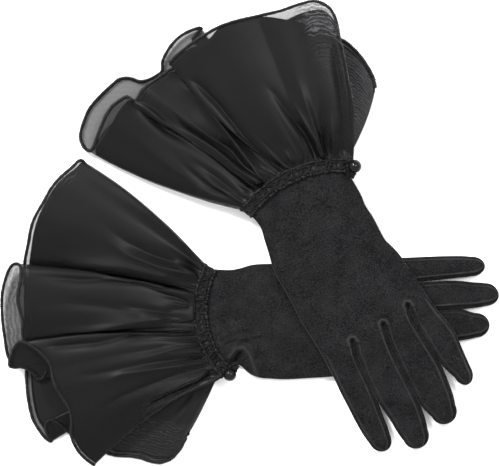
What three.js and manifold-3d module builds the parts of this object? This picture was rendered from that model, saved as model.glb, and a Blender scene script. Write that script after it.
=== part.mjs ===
// A pair of opera gloves lying crossed on a table, the left glove on top of the right one.
// Millimetres, +Z up. Each glove is built in its own frame, x along the hand towards the
// fingertips, y towards the thumb, z up from the underside of its palm, and is then turned
// and set down at its place. The left glove is the mirror image of the right glove's frame.
import * as THREE from 'three';
import { mergeVertices } from 'three/addons/utils/BufferGeometryUtils.js';
import Module from 'manifold-3d';

const wasm = await Module();
wasm.setup();

// Driving dimensions
const gap = 0.3;              // clearance between pieces that touch
const knit = 0.8;             // thickness of the knitted hand fabric
const handHeight = 7.0;       // height of the lying hand and fingers
const foldedThumb = 2.0;      // height of the flattened thumb tucked under the left palm
const thumbGap = 0.4;         // air above and below the flattened thumb
const cuffFabric = 0.6;       // thickness of one ruffle layer
const layerGap = 0.4;         // air between the two ruffle layers
const bandWidth = 6.0;        // width of the gathered wrist band
const cordWidth = 1.4;        // width of each gathering cord beside the band
const wristHeight = 8.4;      // height of the flattened wrist opening, outside
const crownShare = 0.62;      // height of the cuff at its two sides, as a share of its middle
const elasticThickness = 0.5; // thickness of the elastic inside the band
const elasticMargin = 0.5;    // how much narrower than the band the elastic is, each side
const mouthHeight = 26.0;     // height of the ruffle at its hem
const hemWidth = 1.4;         // width of the rolled hem cords
const liningShort = 6.5;      // how much the lining stops before the sheer hem
const foldHeight = 3.0;       // height of the soft folds at the hem
const foldCount = 3;          // soft folds across the ruffle
const placketSlit = 1.5;      // gap between the two ends of the cuff strip
const beadRadius = 4.4;
const beadFlat = 0.5;         // cut off the bead's underside where the shank meets it
const shankRadius = 0.8;
const shankHeight = 1.6;
const facingThickness = 0.7;
const facingWidth = 7.0;
const loopRadius = 6.85;      // middle of the thread to the loop's centre
const loopThread = 0.45;      // radius of the loop's thread
const loopTail = 9.5;         // bead centre to the loop's sewn end
const loopHeading = 55;       // direction of the loop's sewn end, degrees from the hand's axis
const sideWallStart = 0.35;   // where a finger's side walls begin, as a share of its root radius
const turnRoom = 2.5;         // room in the hand's side walls for the fingers to turn
const wallSetback = 4.0;      // how far the hand's side walls stop before the fingers' roots
const sideMargin = 0.01;      // share of the wrist's arc left free at both sides of the hand
const farOut = 40;            // length of a cutting solid that has to pass right through
const steps = 10;             // divisions across the cuff
const lengthSteps = 4;        // divisions from the wrist to the hem
const capSteps = 6;           // divisions of a half round end
const roundSteps = 32;        // divisions of a full round cut
const beadSteps = 16;         // divisions round the bead
const threadSteps = 8;        // divisions round the loop's thread
const loopSteps = 28;         // divisions along the loop

const knitBlack = { color: 0x232323, roughness: 0.92, metalness: 0 };
const sheerBlack = { color: 0x2e2e30, roughness: 0.55, metalness: 0 };
const liningBlack = { color: 0x1c1c1e, roughness: 0.5, metalness: 0 };
const threadBlack = { color: 0x161616, roughness: 0.7, metalness: 0 };
const elasticBlack = { color: 0x1a1a1a, roughness: 0.85, metalness: 0 };
const beadBlack = { color: 0x08080a, roughness: 0.12, metalness: 0 };

// Where each glove lies, and how its fabric lies. Fingers run from a knuckle to a tip,
// with the radius at both ends and the slope down towards the tip.
const gloves = {
  right: {
    place: [-22.4, -57.8], heading: 3, mirrored: false, level: 0,
    wrist: [[-1.6, 35.5], [-11, 6], [3, -35.5]],
    thumbSide: [[25, 34.8], [85, 34.6]],
    littleSide: [[24, -40], [60, -43.5]],
    knuckles: 107,
    fingers: {
      index: { base: 26, tip: [184, 26], radii: [8.6, 7.2], slope: 0 },
      middle: { base: 7, tip: [192.5, 6.5], radii: [9.7, 8.2], slope: 0 },
      ring: { base: -13.6, tip: [184.5, -13.2], radii: [10.1, 8.4], slope: 0 },
      little: { base: -32.6, tip: [165, -31.5], radii: [8.2, 6.8], slope: 0 },
    },
    thumb: { base: [46, 33], heading: 45, length: 64, radii: [10.5, 8.2], folded: false },
    hem: [[-86, 110], [-112, 86], [-128, 55], [-143, 20], [-142, -14], [-130, -45],
      [-114, -76], [-88, -92], [-47, -94]],
    bead: [6.8, -38.5],
  },
  left: {
    place: [34, 25.2], heading: -60, mirrored: true, level: handHeight + foldedThumb + 2 * thumbGap,
    wrist: [[-7.5, 38.9], [-14.9, 9], [-1.5, -38.2]],
    thumbSide: [[26, 38.7], [75, 41.4]],
    littleSide: [[28, -34], [56, -34.4]],
    knuckles: 103,
    fingers: {
      index: { base: 30, tip: [178, 35.6], radii: [11.3, 8.0], slope: 6 },
      middle: { base: 6.3, tip: [189, 14.2], radii: [11.6, 9.2], slope: 3.4 },
      ring: { base: -16.9, tip: [182.5, -10.8], radii: [10.8, 8.8], slope: 2.0 },
      little: { base: -35.5, tip: [167.5, -35.6], radii: [7.2, 6.6], slope: 1.2 },
    },
    thumb: { base: [40, 27], heading: -14, length: 64, radii: [10.5, 8.2], folded: true },
    hem: [[-103, 110], [-125, 82], [-122, 50], [-132, 18], [-126, -12], [-118, -42],
      [-111, -70], [-90, -81], [-46, -82]],
    bead: [1.3, -41.7],
  },
};

const radians = THREE.MathUtils.degToRad;

function toSolid(geometry) {
  const bare = new THREE.BufferGeometry();
  bare.setAttribute('position', geometry.getAttribute('position'));
  if (geometry.index) bare.setIndex(geometry.index);
  const merged = mergeVertices(bare, 1e-4);
  return new wasm.Manifold(new wasm.Mesh({
    numProp: 3,
    vertProperties: new Float32Array(merged.getAttribute('position').array),
    triVerts: new Uint32Array(merged.index.array),
  }));
}

function toGeometry(solid) {
  const { vertProperties, triVerts } = solid.getMesh();
  const geometry = new THREE.BufferGeometry();
  geometry.setAttribute('position', new THREE.BufferAttribute(new Float32Array(vertProperties), 3));
  geometry.setIndex(new THREE.BufferAttribute(new Uint32Array(triVerts), 1));
  geometry.computeVertexNormals();
  return geometry;
}

// A flat outline raised from one height to another.
function slab(points, low, high) {
  const shape = new THREE.Shape(points.map(([x, y]) => new THREE.Vector2(x, y)));
  const geometry = new THREE.ExtrudeGeometry(shape, { depth: high - low, bevelEnabled: false });
  return toSolid(geometry.translate(0, 0, low));
}

function block(low, high) {
  const size = high.map((value, axis) => value - low[axis]);
  const middle = high.map((value, axis) => (value + low[axis]) / 2);
  return toSolid(new THREE.BoxGeometry(...size).translate(...middle));
}

// A finger's outline: a round end at the origin, tapering to a smaller round end.
function fingerOutline(length, baseRadius, tipRadius, inset = 0) {
  const tipCentre = length - tipRadius;
  const lean = Math.asin((baseRadius - tipRadius) / tipCentre);
  const points = [];
  for (let i = 0; i <= 2 * capSteps; i++) {
    const angle = Math.PI / 2 - lean + (Math.PI + 2 * lean) * i / (2 * capSteps);
    const radius = baseRadius - inset;
    points.push([radius * Math.cos(angle), radius * Math.sin(angle)]);
  }
  for (let i = 0; i <= 2 * capSteps; i++) {
    const angle = -Math.PI / 2 + lean + (Math.PI - 2 * lean) * i / (2 * capSteps);
    const radius = tipRadius - inset;
    points.push([tipCentre + radius * Math.cos(angle), radius * Math.sin(angle)]);
  }
  return points;
}

function node(name, solid, look) {
  const mesh = new THREE.Mesh(toGeometry(solid), new THREE.MeshStandardMaterial(look));
  mesh.name = name;
  return mesh;
}

// One finger lying flat: a palm side, a back that turns down round the tip and the free
// sides, and a forchette strip closing each side that faces another finger.
function makeFinger(name, finger, length, innerSides) {
  const [baseRadius, tipRadius] = finger.radii;
  const outline = fingerOutline(length, baseRadius, tipRadius);
  const inside = fingerOutline(length, baseRadius, tipRadius, knit);
  const wallStart = baseRadius * sideWallStart;
  const tipStart = length - tipRadius;
  const reach = baseRadius + 1;
  const walls = (low, high) => slab(outline, low, high).subtract(slab(inside, low - 1, high + 1));
  const along = (from, to, side, low, high) => {
    const y = side > 0 ? [0, reach] : [-reach, 0];
    return walls(low, high).intersect(block([from, y[0], low - 1], [to, y[1], high + 1]));
  };
  let back = slab(outline, handHeight - knit, handHeight);
  back = back.add(walls(knit + gap, handHeight - knit).intersect(
    block([tipStart + gap, -reach, 0], [length + 1, reach, handHeight])));
  const pieces = [];
  for (const side of [1, -1]) {
    if (innerSides.includes(side)) {
      const strip = along(wallStart, tipStart, side, knit + gap, handHeight - knit - gap);
      const facing = side > 0 ? 'thumb_side' : 'little_side';
      pieces.push(node(`${name}_forchette_${facing}`, strip, knitBlack));
    } else {
      back = back.add(along(wallStart, length, side, knit + gap, handHeight - knit));
    }
  }
  pieces.unshift(node(`${name}_back`, back, knitBlack));
  pieces.unshift(node(`${name}_palm`, slab(outline, 0, knit), knitBlack));
  return pieces;
}

// A finger's place: the angle in plan and its length from the knuckle.
function fingerLine(glove, finger) {
  const along = finger.tip[0] - glove.knuckles;
  const across = finger.tip[1] - finger.base;
  return { angle: Math.atan2(across, along), length: Math.hypot(along, across) };
}

function makeFingers(prefix, glove) {
  const inner = { index: [-1], middle: [1, -1], ring: [1, -1], little: [1] };
  return Object.entries(glove.fingers).map(([name, finger]) => {
    const { angle, length } = fingerLine(glove, finger);
    const group = new THREE.Group();
    group.add(...makeFinger(`${prefix}_${name}`, finger, length, inner[name]));
    group.position.set(glove.knuckles, finger.base, 0);
    group.rotation.set(0, radians(finger.slope), angle, 'ZYX');
    return group;
  });
}

// The thumb. Lying out, it is a finger with no forchettes. Folded under the palm, it is flat.
function makeThumb(prefix, glove) {
  const { base, heading, length, radii, folded } = glove.thumb;
  const group = new THREE.Group();
  if (folded) {
    const outline = fingerOutline(length, ...radii);
    group.add(node(`${prefix}_thumb_palm`, slab(outline, 0, knit), knitBlack));
    group.add(node(`${prefix}_thumb_back`, slab(outline, foldedThumb - knit, foldedThumb), knitBlack));
    group.position.set(base[0], base[1], -foldedThumb - thumbGap);
  } else {
    group.add(...makeFinger(`${prefix}_thumb`, { radii }, length, []));
    group.position.set(base[0], base[1], 0);
  }
  group.rotation.z = radians(heading);
  return group;
}

// The circle through the wrist's three points, and points on it at a distance towards the cuff.
function wristArc(glove) {
  const [[ax, ay], [bx, by], [cx, cy]] = glove.wrist;
  const d = 2 * (ax * (by - cy) + bx * (cy - ay) + cx * (ay - by));
  const a = ax * ax + ay * ay, b = bx * bx + by * by, c = cx * cx + cy * cy;
  const centre = [(a * (by - cy) + b * (cy - ay) + c * (ay - by)) / d,
    (a * (cx - bx) + b * (ax - cx) + c * (bx - ax)) / d];
  const radius = Math.hypot(ax - centre[0], ay - centre[1]);
  const from = Math.atan2(ay - centre[1], ax - centre[0]);
  let to = Math.atan2(cy - centre[1], cx - centre[0]);
  if (to < from) to += 2 * Math.PI;
  return (across, towardsCuff) => {
    const angle = from + (to - from) * across;
    const reach = radius + towardsCuff;
    return [centre[0] + reach * Math.cos(angle), centre[1] + reach * Math.sin(angle)];
  };
}

// The outer shape of the cuff at one station: a flattened tube, left open along the placket.
// place gives the plan point across the cuff, height the lowest and highest level there.
function section(place, height, inset) {
  const width = Math.hypot(place(0)[0] - place(1)[0], place(0)[1] - place(1)[1]);
  const across = (t) => inset / width + t * (1 - 2 * inset / width);
  const points = [];
  const [lipLow, lipHigh] = height(1);
  const slit = (lipLow + lipHigh) / 2;
  points.push([...place(across(1)), slit + placketSlit / 2]);
  for (let i = steps; i >= 0; i--) {
    const t = i / steps;
    points.push([...place(across(t)), height(t)[1] - inset]);
  }
  for (let i = 0; i <= steps; i++) {
    const t = i / steps;
    points.push([...place(across(t)), height(t)[0] + inset]);
  }
  points.push([...place(across(1)), slit - placketSlit / 2]);
  return points;
}

// A closed solid through stations, each an outer and an inner line of points.
function sleeve(stations) {
  const count = stations[0].outer.length;
  const ring = stations.map(({ outer, inner }) => [...outer, ...[...inner].reverse()]);
  const positions = ring.flat(2);
  const index = [];
  const size = 2 * count;
  const quad = (a, b, c, d) => index.push(a, b, c, a, c, d);
  for (let s = 0; s < ring.length - 1; s++) {
    for (let i = 0; i < size; i++) {
      const j = (i + 1) % size;
      quad(s * size + i, s * size + j, (s + 1) * size + j, (s + 1) * size + i);
    }
  }
  const last = (ring.length - 1) * size;
  for (let i = 0; i < count - 1; i++) {
    quad(i + 1, i, size - 1 - i, size - 2 - i);
    quad(last + i, last + i + 1, last + size - 2 - i, last + size - 1 - i);
  }
  const geometry = new THREE.BufferGeometry();
  geometry.setAttribute('position', new THREE.Float32BufferAttribute(positions, 3));
  geometry.setIndex(index);
  return toSolid(geometry);
}

// The height of the cuff's top across it, as a share of its middle.
function crownHeight(t) {
  return crownShare + (1 - crownShare) * Math.sqrt(Math.max(0, 1 - (2 * t - 1) ** 2));
}

// The cuff's own shape, from the wrist (along = 0) to the ruffle's hem (along = 1).
function cuffShape(glove) {
  const arc = wristArc(glove);
  const hem = new THREE.SplineCurve(glove.hem.map(([x, y]) => new THREE.Vector2(x, y)));
  const start = bandWidth / 2 + cordWidth + 2 * gap;
  const place = (along) => (t) => {
    const from = arc(t, start);
    const to = hem.getPointAt(t);
    return [from[0] + (to.x - from[0]) * along, from[1] + (to.y - from[1]) * along];
  };
  const height = (along) => (t) => {
    const crown = crownHeight(t);
    const half = (wristHeight + (mouthHeight - wristHeight) * along) / 2;
    const middle = (1 - along) * (wristHeight / 2) + along * (mouthHeight / 2 - glove.level);
    const fold = foldHeight * along * Math.sin(Math.PI * t) * Math.cos(2 * Math.PI * foldCount * t);
    return [middle - half, middle + half * crown + fold - foldHeight * along];
  };
  return { arc, place, height };
}

function makeRuffleLayer(name, cuff, from, to, outerInset, look) {
  const stations = Array.from({ length: lengthSteps + 1 }, (_, i) => {
    const along = from + (to - from) * i / lengthSteps;
    const place = cuff.place(along), height = cuff.height(along);
    return {
      outer: section(place, height, outerInset),
      inner: section(place, height, outerInset + cuffFabric),
    };
  });
  return node(name, sleeve(stations), look);
}

// A rolled hem just beyond the edge of its layer.
function makeHem(name, cuff, from, to, outerInset) {
  const stations = [from, to].map((along) => ({
    outer: section(cuff.place(along), cuff.height(along), outerInset),
    inner: section(cuff.place(along), cuff.height(along), outerInset + cuffFabric),
  }));
  return node(name, sleeve(stations), threadBlack);
}

function makeRuffle(prefix, glove) {
  const cuff = cuffShape(glove);
  const middle = cuff.place(0)(0.5), edge = cuff.place(1)(0.5);
  const depth = Math.hypot(edge[0] - middle[0], edge[1] - middle[1]);
  const share = (length) => length / depth;
  const lining = cuffFabric + layerGap;
  const sheerEnd = 1 - share(hemWidth + gap);
  const liningEnd = 1 - share(liningShort + hemWidth + gap);
  return [
    makeRuffleLayer(`${prefix}_ruffle_sheer`, cuff, 0, sheerEnd, 0, sheerBlack),
    makeRuffleLayer(`${prefix}_ruffle_lining`, cuff, 0, liningEnd, lining, liningBlack),
    makeHem(`${prefix}_sheer_hem`, cuff, sheerEnd + share(gap), 1, 0),
    makeHem(`${prefix}_lining_hem`, cuff, liningEnd + share(gap),
      liningEnd + share(gap + hemWidth), lining),
  ];
}

// The gathered band, the elastic in it, and the gathering cords beside it.
function makeBand(prefix, glove) {
  const arc = wristArc(glove);
  const height = (t) => [0, wristHeight / 2 * (1 + crownHeight(t))];
  const ring = (name, from, to, inset, thickness, look) => {
    const stations = [to, from].map((towardsCuff) => ({
      outer: section((t) => arc(t, towardsCuff), height, inset + thickness),
      inner: section((t) => arc(t, towardsCuff), height, inset),
    }));
    return node(`${prefix}_${name}`, sleeve(stations), look);
  };
  const half = bandWidth / 2;
  const elastic = cuffFabric + gap;
  return [
    ring('wrist_band', -half, half, 0, cuffFabric, knitBlack),
    ring('wrist_elastic', -half + elasticMargin, half - elasticMargin, elastic, elasticThickness,
      elasticBlack),
    ring('gathering_cord_cuff', half + gap, half + gap + cordWidth, 0, cuffFabric * 2, threadBlack),
    ring('gathering_cord_hand', -half - gap - cordWidth, -half - gap, 0, cuffFabric * 2, threadBlack),
  ];
}

// The hand: a flat palm and a back that turns down at both sides, open at the wrist and at
// each finger. Round bites leave room for the fingers and the thumb to turn.
function makeHand(prefix, glove) {
  const arc = wristArc(glove);
  const start = -(bandWidth / 2 + cordWidth + 2 * gap);
  const outline = (inset) => {
    const points = [];
    const span = 1 - 2 * sideMargin;
    for (let i = 0; i <= steps; i++) points.push(arc(sideMargin + span * i / steps, start));
    const sides = [...glove.littleSide];
    const little = glove.fingers.little, index = glove.fingers.index;
    sides.push([glove.knuckles, little.base - little.radii[0]]);
    sides.push([glove.knuckles, index.base + index.radii[0]]);
    sides.push(...[...glove.thumbSide].reverse());
    for (const [x, y] of sides) points.push([x, y - Math.sign(y) * inset]);
    for (let i = 0; i <= steps; i++) points[i][1] -= inset * (1 - 2 * i / steps);
    return points;
  };
  const cut = (solid, extra) => {
    let result = solid;
    for (const finger of Object.values(glove.fingers)) {
      const radius = finger.radii[0] + extra;
      const bite = new THREE.CylinderGeometry(radius, radius, farOut, roundSteps);
      bite.rotateX(Math.PI / 2).translate(glove.knuckles, finger.base, 0);
      result = result.subtract(toSolid(bite));
    }
    const { base, heading, length, radii, folded } = glove.thumb;
    if (!folded) {
      const bite = fingerOutline(length + extra, radii[0] + extra, radii[1] + extra);
      const tall = slab(bite, -farOut / 2, farOut / 2);
      result = result.subtract(tall.rotate([0, 0, heading]).translate([base[0], base[1], 0]));
    }
    return result;
  };
  const palm = cut(slab(outline(0), 0, knit), gap);
  const top = cut(slab(outline(0), handHeight - knit, handHeight), gap);
  let walls = slab(outline(0), knit + gap, handHeight - knit);
  walls = walls.subtract(slab(outline(knit), 0, handHeight));
  const wristEnd = Math.max(glove.wrist[0][0], glove.wrist[2][0]) - start + 2;
  const wallEnd = glove.knuckles - wallSetback;
  walls = walls.intersect(block([wristEnd, -2 * farOut, 0], [wallEnd, 2 * farOut, handHeight]));
  return [
    node(`${prefix}_palm_panel`, palm, knitBlack),
    node(`${prefix}_back_panel`, top.add(cut(walls, turnRoom)), knitBlack),
  ];
}

// The bead on its thread shank, the facing strip under it, and the thread loop round it.
function makeFastener(prefix, glove) {
  const level = wristHeight + gap;
  const shankLow = level + facingThickness + gap;
  const beadLow = shankLow + shankHeight + gap;
  const half = facingWidth / 2;
  const facingEnd = loopTail + half;
  const outline = [[-half, -half], [facingEnd, -half], [facingEnd, half], [-half, half]];
  const bead = toSolid(new THREE.SphereGeometry(beadRadius, beadSteps, 12).rotateX(Math.PI / 2)
    .translate(0, 0, beadLow + beadRadius - beadFlat));
  const shank = new THREE.CylinderGeometry(shankRadius, shankRadius, shankHeight, 12)
    .rotateX(Math.PI / 2).translate(0, 0, shankLow + shankHeight / 2);
  const loopLevel = level + facingThickness + gap + loopThread;
  const ring = new THREE.TorusGeometry(loopRadius, loopThread, threadSteps, loopSteps)
    .translate(0, 0, loopLevel);
  const tailLength = loopTail - loopRadius + loopThread;
  const tail = new THREE.CylinderGeometry(loopThread, loopThread, tailLength, threadSteps)
    .rotateZ(Math.PI / 2).translate((loopTail + loopRadius) / 2, 0, loopLevel);
  const group = new THREE.Group();
  group.add(
    node(`${prefix}_placket_facing`, slab(outline, level, level + facingThickness), knitBlack),
    node(`${prefix}_bead_shank`, toSolid(shank), threadBlack),
    node(`${prefix}_bead_button`, bead.subtract(block([-farOut, -farOut, 0], [farOut, farOut, beadLow])),
      beadBlack),
    node(`${prefix}_button_loop`, toSolid(ring).add(toSolid(tail)), threadBlack),
  );
  group.position.set(...glove.bead, 0);
  group.rotation.z = radians(loopHeading);
  return group;
}

function makeGlove(prefix, glove) {
  const group = new THREE.Group();
  group.add(...makeHand(prefix, glove), ...makeFingers(prefix, glove), makeThumb(prefix, glove));
  group.add(...makeBand(prefix, glove), ...makeRuffle(prefix, glove), makeFastener(prefix, glove));
  group.position.set(...glove.place, glove.level);
  group.rotation.z = radians(glove.heading);
  group.scale.y = glove.mirrored ? -1 : 1;
  return group;
}

// The pair, with the middle of its base at the origin.
const pair = new THREE.Group();
for (const [prefix, glove] of Object.entries(gloves)) pair.add(makeGlove(prefix, glove));
pair.updateMatrixWorld(true);
const extent = new THREE.Box3().setFromObject(pair, true);
const middle = extent.getCenter(new THREE.Vector3());
pair.position.set(-middle.x, -middle.y, -extent.min.z);
pair.updateMatrixWorld(true);

export default pair;
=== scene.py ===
import math
import bpy
import numpy as np
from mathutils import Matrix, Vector


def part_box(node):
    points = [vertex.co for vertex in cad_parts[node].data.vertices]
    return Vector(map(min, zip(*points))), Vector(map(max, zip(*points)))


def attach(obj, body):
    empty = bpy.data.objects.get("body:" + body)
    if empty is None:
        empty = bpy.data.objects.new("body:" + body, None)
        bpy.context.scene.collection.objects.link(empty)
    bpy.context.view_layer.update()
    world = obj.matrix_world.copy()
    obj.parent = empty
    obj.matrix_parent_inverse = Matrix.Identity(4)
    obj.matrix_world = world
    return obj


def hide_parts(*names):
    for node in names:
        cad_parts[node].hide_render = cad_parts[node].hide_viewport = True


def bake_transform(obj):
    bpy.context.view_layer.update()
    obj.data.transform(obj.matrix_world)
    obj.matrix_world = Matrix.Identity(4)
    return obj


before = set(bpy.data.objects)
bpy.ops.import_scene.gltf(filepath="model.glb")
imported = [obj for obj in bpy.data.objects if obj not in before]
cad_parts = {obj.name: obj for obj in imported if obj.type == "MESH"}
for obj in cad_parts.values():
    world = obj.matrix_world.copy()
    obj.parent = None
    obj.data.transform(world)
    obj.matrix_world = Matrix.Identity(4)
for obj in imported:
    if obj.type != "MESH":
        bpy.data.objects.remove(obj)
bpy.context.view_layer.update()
bpy.ops.object.select_all(action="DESELECT")
print("frame loaded")

# Each glove has its own plan: u runs along the hand to the fingertips, v towards the thumb,
# both in mm. Heights are mm above the table.
gloves = {
    "right": {"heading": 3, "mirror": 1, "bead": (6.8, -38.5), "knuckles": 107,
              "wrist": ((-1.6, 35.5), (-11, 6), (3, -35.5))},
    "left": {"heading": -60, "mirror": -1, "bead": (1.3, -41.7), "knuckles": 103,
             "wrist": ((-7.5, 38.9), (-14.9, 9), (-1.5, -38.2))},
}
for side, glove in gloves.items():
    low, high = (np.array(corner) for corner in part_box(side + "_bead_shank"))
    angle = math.radians(glove["heading"])
    glove["turn"] = (math.cos(angle), math.sin(angle))
    c, s = glove["turn"]
    u, v = glove["bead"][0], glove["bead"][1] * glove["mirror"]
    middle = (low + high) / 2 * 1000
    glove["origin"] = (middle[0] - (u * c - v * s), middle[1] - (u * s + v * c))
    glove["level"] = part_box(side + "_palm_panel")[0][2] * 1000


def toWorld(side, points):
    glove = gloves[side]
    points = np.asarray(points, float)
    c, s = glove["turn"]
    u, v = points[..., 0], points[..., 1] * glove["mirror"]
    x = glove["origin"][0] + u * c - v * s
    y = glove["origin"][1] + u * s + v * c
    return np.stack([x, y, points[..., 2]], -1) / 1000


# A smooth line through control points, evenly spaced. Extra columns ride along.
def smoothLine(points, count):
    points = np.array(points, float)
    chord = np.linalg.norm(np.diff(points[:, :min(3, points.shape[1])], axis=0), axis=1)
    knots = np.concatenate([[0], np.cumsum(np.maximum(chord, 1e-3) ** 0.5)])
    gapWidth = np.diff(knots)[:, None]
    rise = np.diff(points, axis=0) / gapWidth
    slope = np.vstack([rise[:1], rise, rise[-1:]])
    wide = np.vstack([gapWidth[:1], gapWidth, gapWidth[-1:]])
    slope = (slope[:-1] * wide[1:] + slope[1:] * wide[:-1]) / (wide[1:] + wide[:-1])
    at = np.linspace(0, knots[-1], 40 * len(points))
    i = np.clip(np.searchsorted(knots, at, side="right") - 1, 0, len(rise) - 1)
    h = gapWidth[i]
    f = ((at - knots[i])[:, None] / h)
    fine = ((2 * f**3 - 3 * f**2 + 1) * points[i] + (f**3 - 2 * f**2 + f) * h * slope[i]
            + (-2 * f**3 + 3 * f**2) * points[i + 1] + (f**3 - f**2) * h * slope[i + 1])
    run = np.linalg.norm(np.diff(fine[:, :min(3, points.shape[1])], axis=0), axis=1)
    run = np.concatenate([[0], np.cumsum(run)])
    where = np.linspace(0, run[-1], count)
    return np.stack([np.interp(where, run, column) for column in fine.T], -1)


# Smooth random waves along a line: about one wave per wavelength, between -1 and 1.
def ripple(x, wavelength, seed):
    rng = np.random.default_rng(seed)
    x = np.asarray(x, float) / wavelength * 2
    values = rng.uniform(-1, 1, int(np.max(x)) + 4)
    i = np.floor(x).astype(int)
    f = x - i
    f = f * f * (3 - 2 * f)
    return values[i] * (1 - f) + values[i + 1] * f


def ripple2(x, y, wavelength, seed):
    rng = np.random.default_rng(seed)
    x, y = np.asarray(x, float) / wavelength * 2 + 200, np.asarray(y, float) / wavelength * 2 + 200
    values = rng.uniform(-1, 1, (97, 97))
    i, j = np.floor(x).astype(int), np.floor(y).astype(int)
    f, g = x - i, y - j
    f, g = f * f * (3 - 2 * f), g * g * (3 - 2 * g)
    a = values[i % 97, j % 97] * (1 - f) + values[(i + 1) % 97, j % 97] * f
    b = values[i % 97, (j + 1) % 97] * (1 - f) + values[(i + 1) % 97, (j + 1) % 97] * f
    return a * (1 - g) + b * g


def smooth(x):
    x = np.clip(x, 0, 1)
    return x * x * (3 - 2 * x)


# How strongly a point lies on a drawn line: 1 on the line, fading over its width and, with
# a taper, towards the line's first end.
def nearLine(u, v, line, width, taper=0.0, crisp=2.0):
    best, along = np.full(np.shape(u), 1e9), np.zeros(np.shape(u))
    for i, ((au, av), (bu, bv)) in enumerate(zip(line[:-1], line[1:])):
        du, dv = bu - au, bv - av
        f = np.clip(((u - au) * du + (v - av) * dv) / (du * du + dv * dv), 0, 1)
        away = np.hypot(u - au - f * du, v - av - f * dv)
        along = np.where(away < best, (i + f) / (len(line) - 1), along)
        best = np.minimum(best, away)
    return np.exp(-((best / width) ** crisp)) * (smooth(along / taper) if taper else 1)


# A mesh from rows and columns of points, closed round its columns where closed is true.
def gridMesh(name, points, uv=None, closed=False, flip=False, paintedHighlightAndCover=None):
    rows, columns = points.shape[:2]
    index = np.arange(rows * columns).reshape(rows, columns)
    right = np.roll(index, -1, 1)
    if not closed:
        index, right = index[:, :-1], right[:, :-1]
    quads = np.stack([index[:-1], right[:-1], right[1:], index[1:]], -1).reshape(-1, 4)
    if flip:
        quads = quads[:, ::-1]
    mesh = bpy.data.meshes.new(name)
    mesh.from_pydata(points.reshape(-1, 3).tolist(), [], quads.tolist())
    if uv is not None:
        layer = mesh.uv_layers.new(name="cloth")
        corner = np.array([loop.vertex_index for loop in mesh.loops])
        layer.data.foreach_set("uv", uv.reshape(-1, 2)[corner].ravel())
    if paintedHighlightAndCover is not None:
        # the attribute holds a painted highlight on the knit's seam ridges, and on the ruffles a painted
        # glint with denser thread cover
        share = mesh.attributes.new("paintedHighlightAndCover", "FLOAT", "POINT")
        share.data.foreach_set("value", paintedHighlightAndCover.ravel().astype(np.float32))
    mesh.polygons.foreach_set("use_smooth", [True] * len(mesh.polygons))
    mesh.update()
    piece = bpy.data.objects.new(name, mesh)
    bpy.context.scene.collection.objects.link(piece)
    return piece


# A round cord swept along a line, its radius given point by point.
def tubeMesh(name, line, radius, sides=8, loop=False):
    if loop:
        ahead = np.roll(line, -1, 0) - np.roll(line, 1, 0)
    else:
        ahead = np.gradient(line, axis=0)
    ahead /= np.maximum(np.linalg.norm(ahead, axis=1), 1e-9)[:, None]
    normal = np.zeros_like(line)
    last = np.array([0.0, 0.0, 1.0])
    for i, way in enumerate(ahead):
        last = last - way * last.dot(way)
        if np.linalg.norm(last) < 1e-6:
            last = np.array([1.0, 0.0, 0.0]) - way * way[0]
        last /= np.linalg.norm(last)
        normal[i] = last
    side = np.cross(ahead, normal)
    turn = np.linspace(0, 2 * math.pi, sides, endpoint=False)
    radius = np.broadcast_to(radius, len(line))[:, None, None]
    ring = line[:, None] + radius * (np.cos(turn)[None, :, None] * normal[:, None]
                                     + np.sin(turn)[None, :, None] * side[:, None])
    if not loop:
        ring = np.concatenate([np.repeat(line[:1, None], sides, 1), ring,
                               np.repeat(line[-1:, None], sides, 1)])
    else:
        ring = np.concatenate([ring, ring[:1]])
    piece = gridMesh(name, ring, closed=True)
    tidyMesh(piece)
    return piece


def pick(piece):
    bpy.ops.object.select_all(action="DESELECT")
    piece.select_set(True)
    bpy.context.view_layer.objects.active = piece


# Merges doubles and turns every face outwards.
def tidyMesh(piece, distance=0.00001):
    pick(piece)
    bpy.ops.object.mode_set(mode="EDIT")
    bpy.ops.mesh.select_all(action="SELECT")
    bpy.ops.mesh.remove_doubles(threshold=distance)
    bpy.ops.mesh.normals_make_consistent(inside=False)
    bpy.ops.object.mode_set(mode="OBJECT")


def applyAll(piece):
    pick(piece)
    for modifier in list(piece.modifiers):
        bpy.ops.object.modifier_apply(modifier=modifier.name)


def thicken(piece, thickness, offset=-1):
    wall = piece.modifiers.new("cloth", "SOLIDIFY")
    wall.thickness = thickness
    wall.offset = offset
    applyAll(piece)


def dress(piece, material, slotName, *nodes):
    piece.data.materials.clear()
    piece.data.materials.append(material)
    if nodes:
        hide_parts(*nodes)


# A point on the wrist's arc: across runs from the thumb side (0) to the little side (1).
def wristArc(side, across, towardsCuff):
    (ax, ay), (bx, by), (cx, cy) = gloves[side]["wrist"]
    d = 2 * (ax * (by - cy) + bx * (cy - ay) + cx * (ay - by))
    a, b, c = ax * ax + ay * ay, bx * bx + by * by, cx * cx + cy * cy
    mu = (a * (by - cy) + b * (cy - ay) + c * (ay - by)) / d
    mv = (a * (cx - bx) + b * (ax - cx) + c * (bx - ax)) / d
    radius = math.hypot(ax - mu, ay - mv)
    first = math.atan2(ay - mv, ax - mu)
    last = math.atan2(cy - mv, cx - mu)
    last += 2 * math.pi if last < first else 0
    turn = first + (last - first) * np.asarray(across, float)
    reach = radius + np.asarray(towardsCuff, float)
    return mu + reach * np.cos(turn), mv + reach * np.sin(turn)


# Materials
def linear(hexValue):
    parts = [int(hexValue[i:i + 2], 16) / 255 for i in (1, 3, 5)]
    return [p / 12.92 if p <= 0.04045 else ((p + 0.055) / 1.055) ** 2.4 for p in parts] + [1]


def newMaterial(name, **values):
    material = bpy.data.materials.new(name)
    material.use_nodes = True
    shader = next(n for n in material.node_tree.nodes if n.type == "BSDF_PRINCIPLED")
    for socket, value in values.items():
        shader.inputs[socket.replace("_", " ")].default_value = value
    return material, shader


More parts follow.
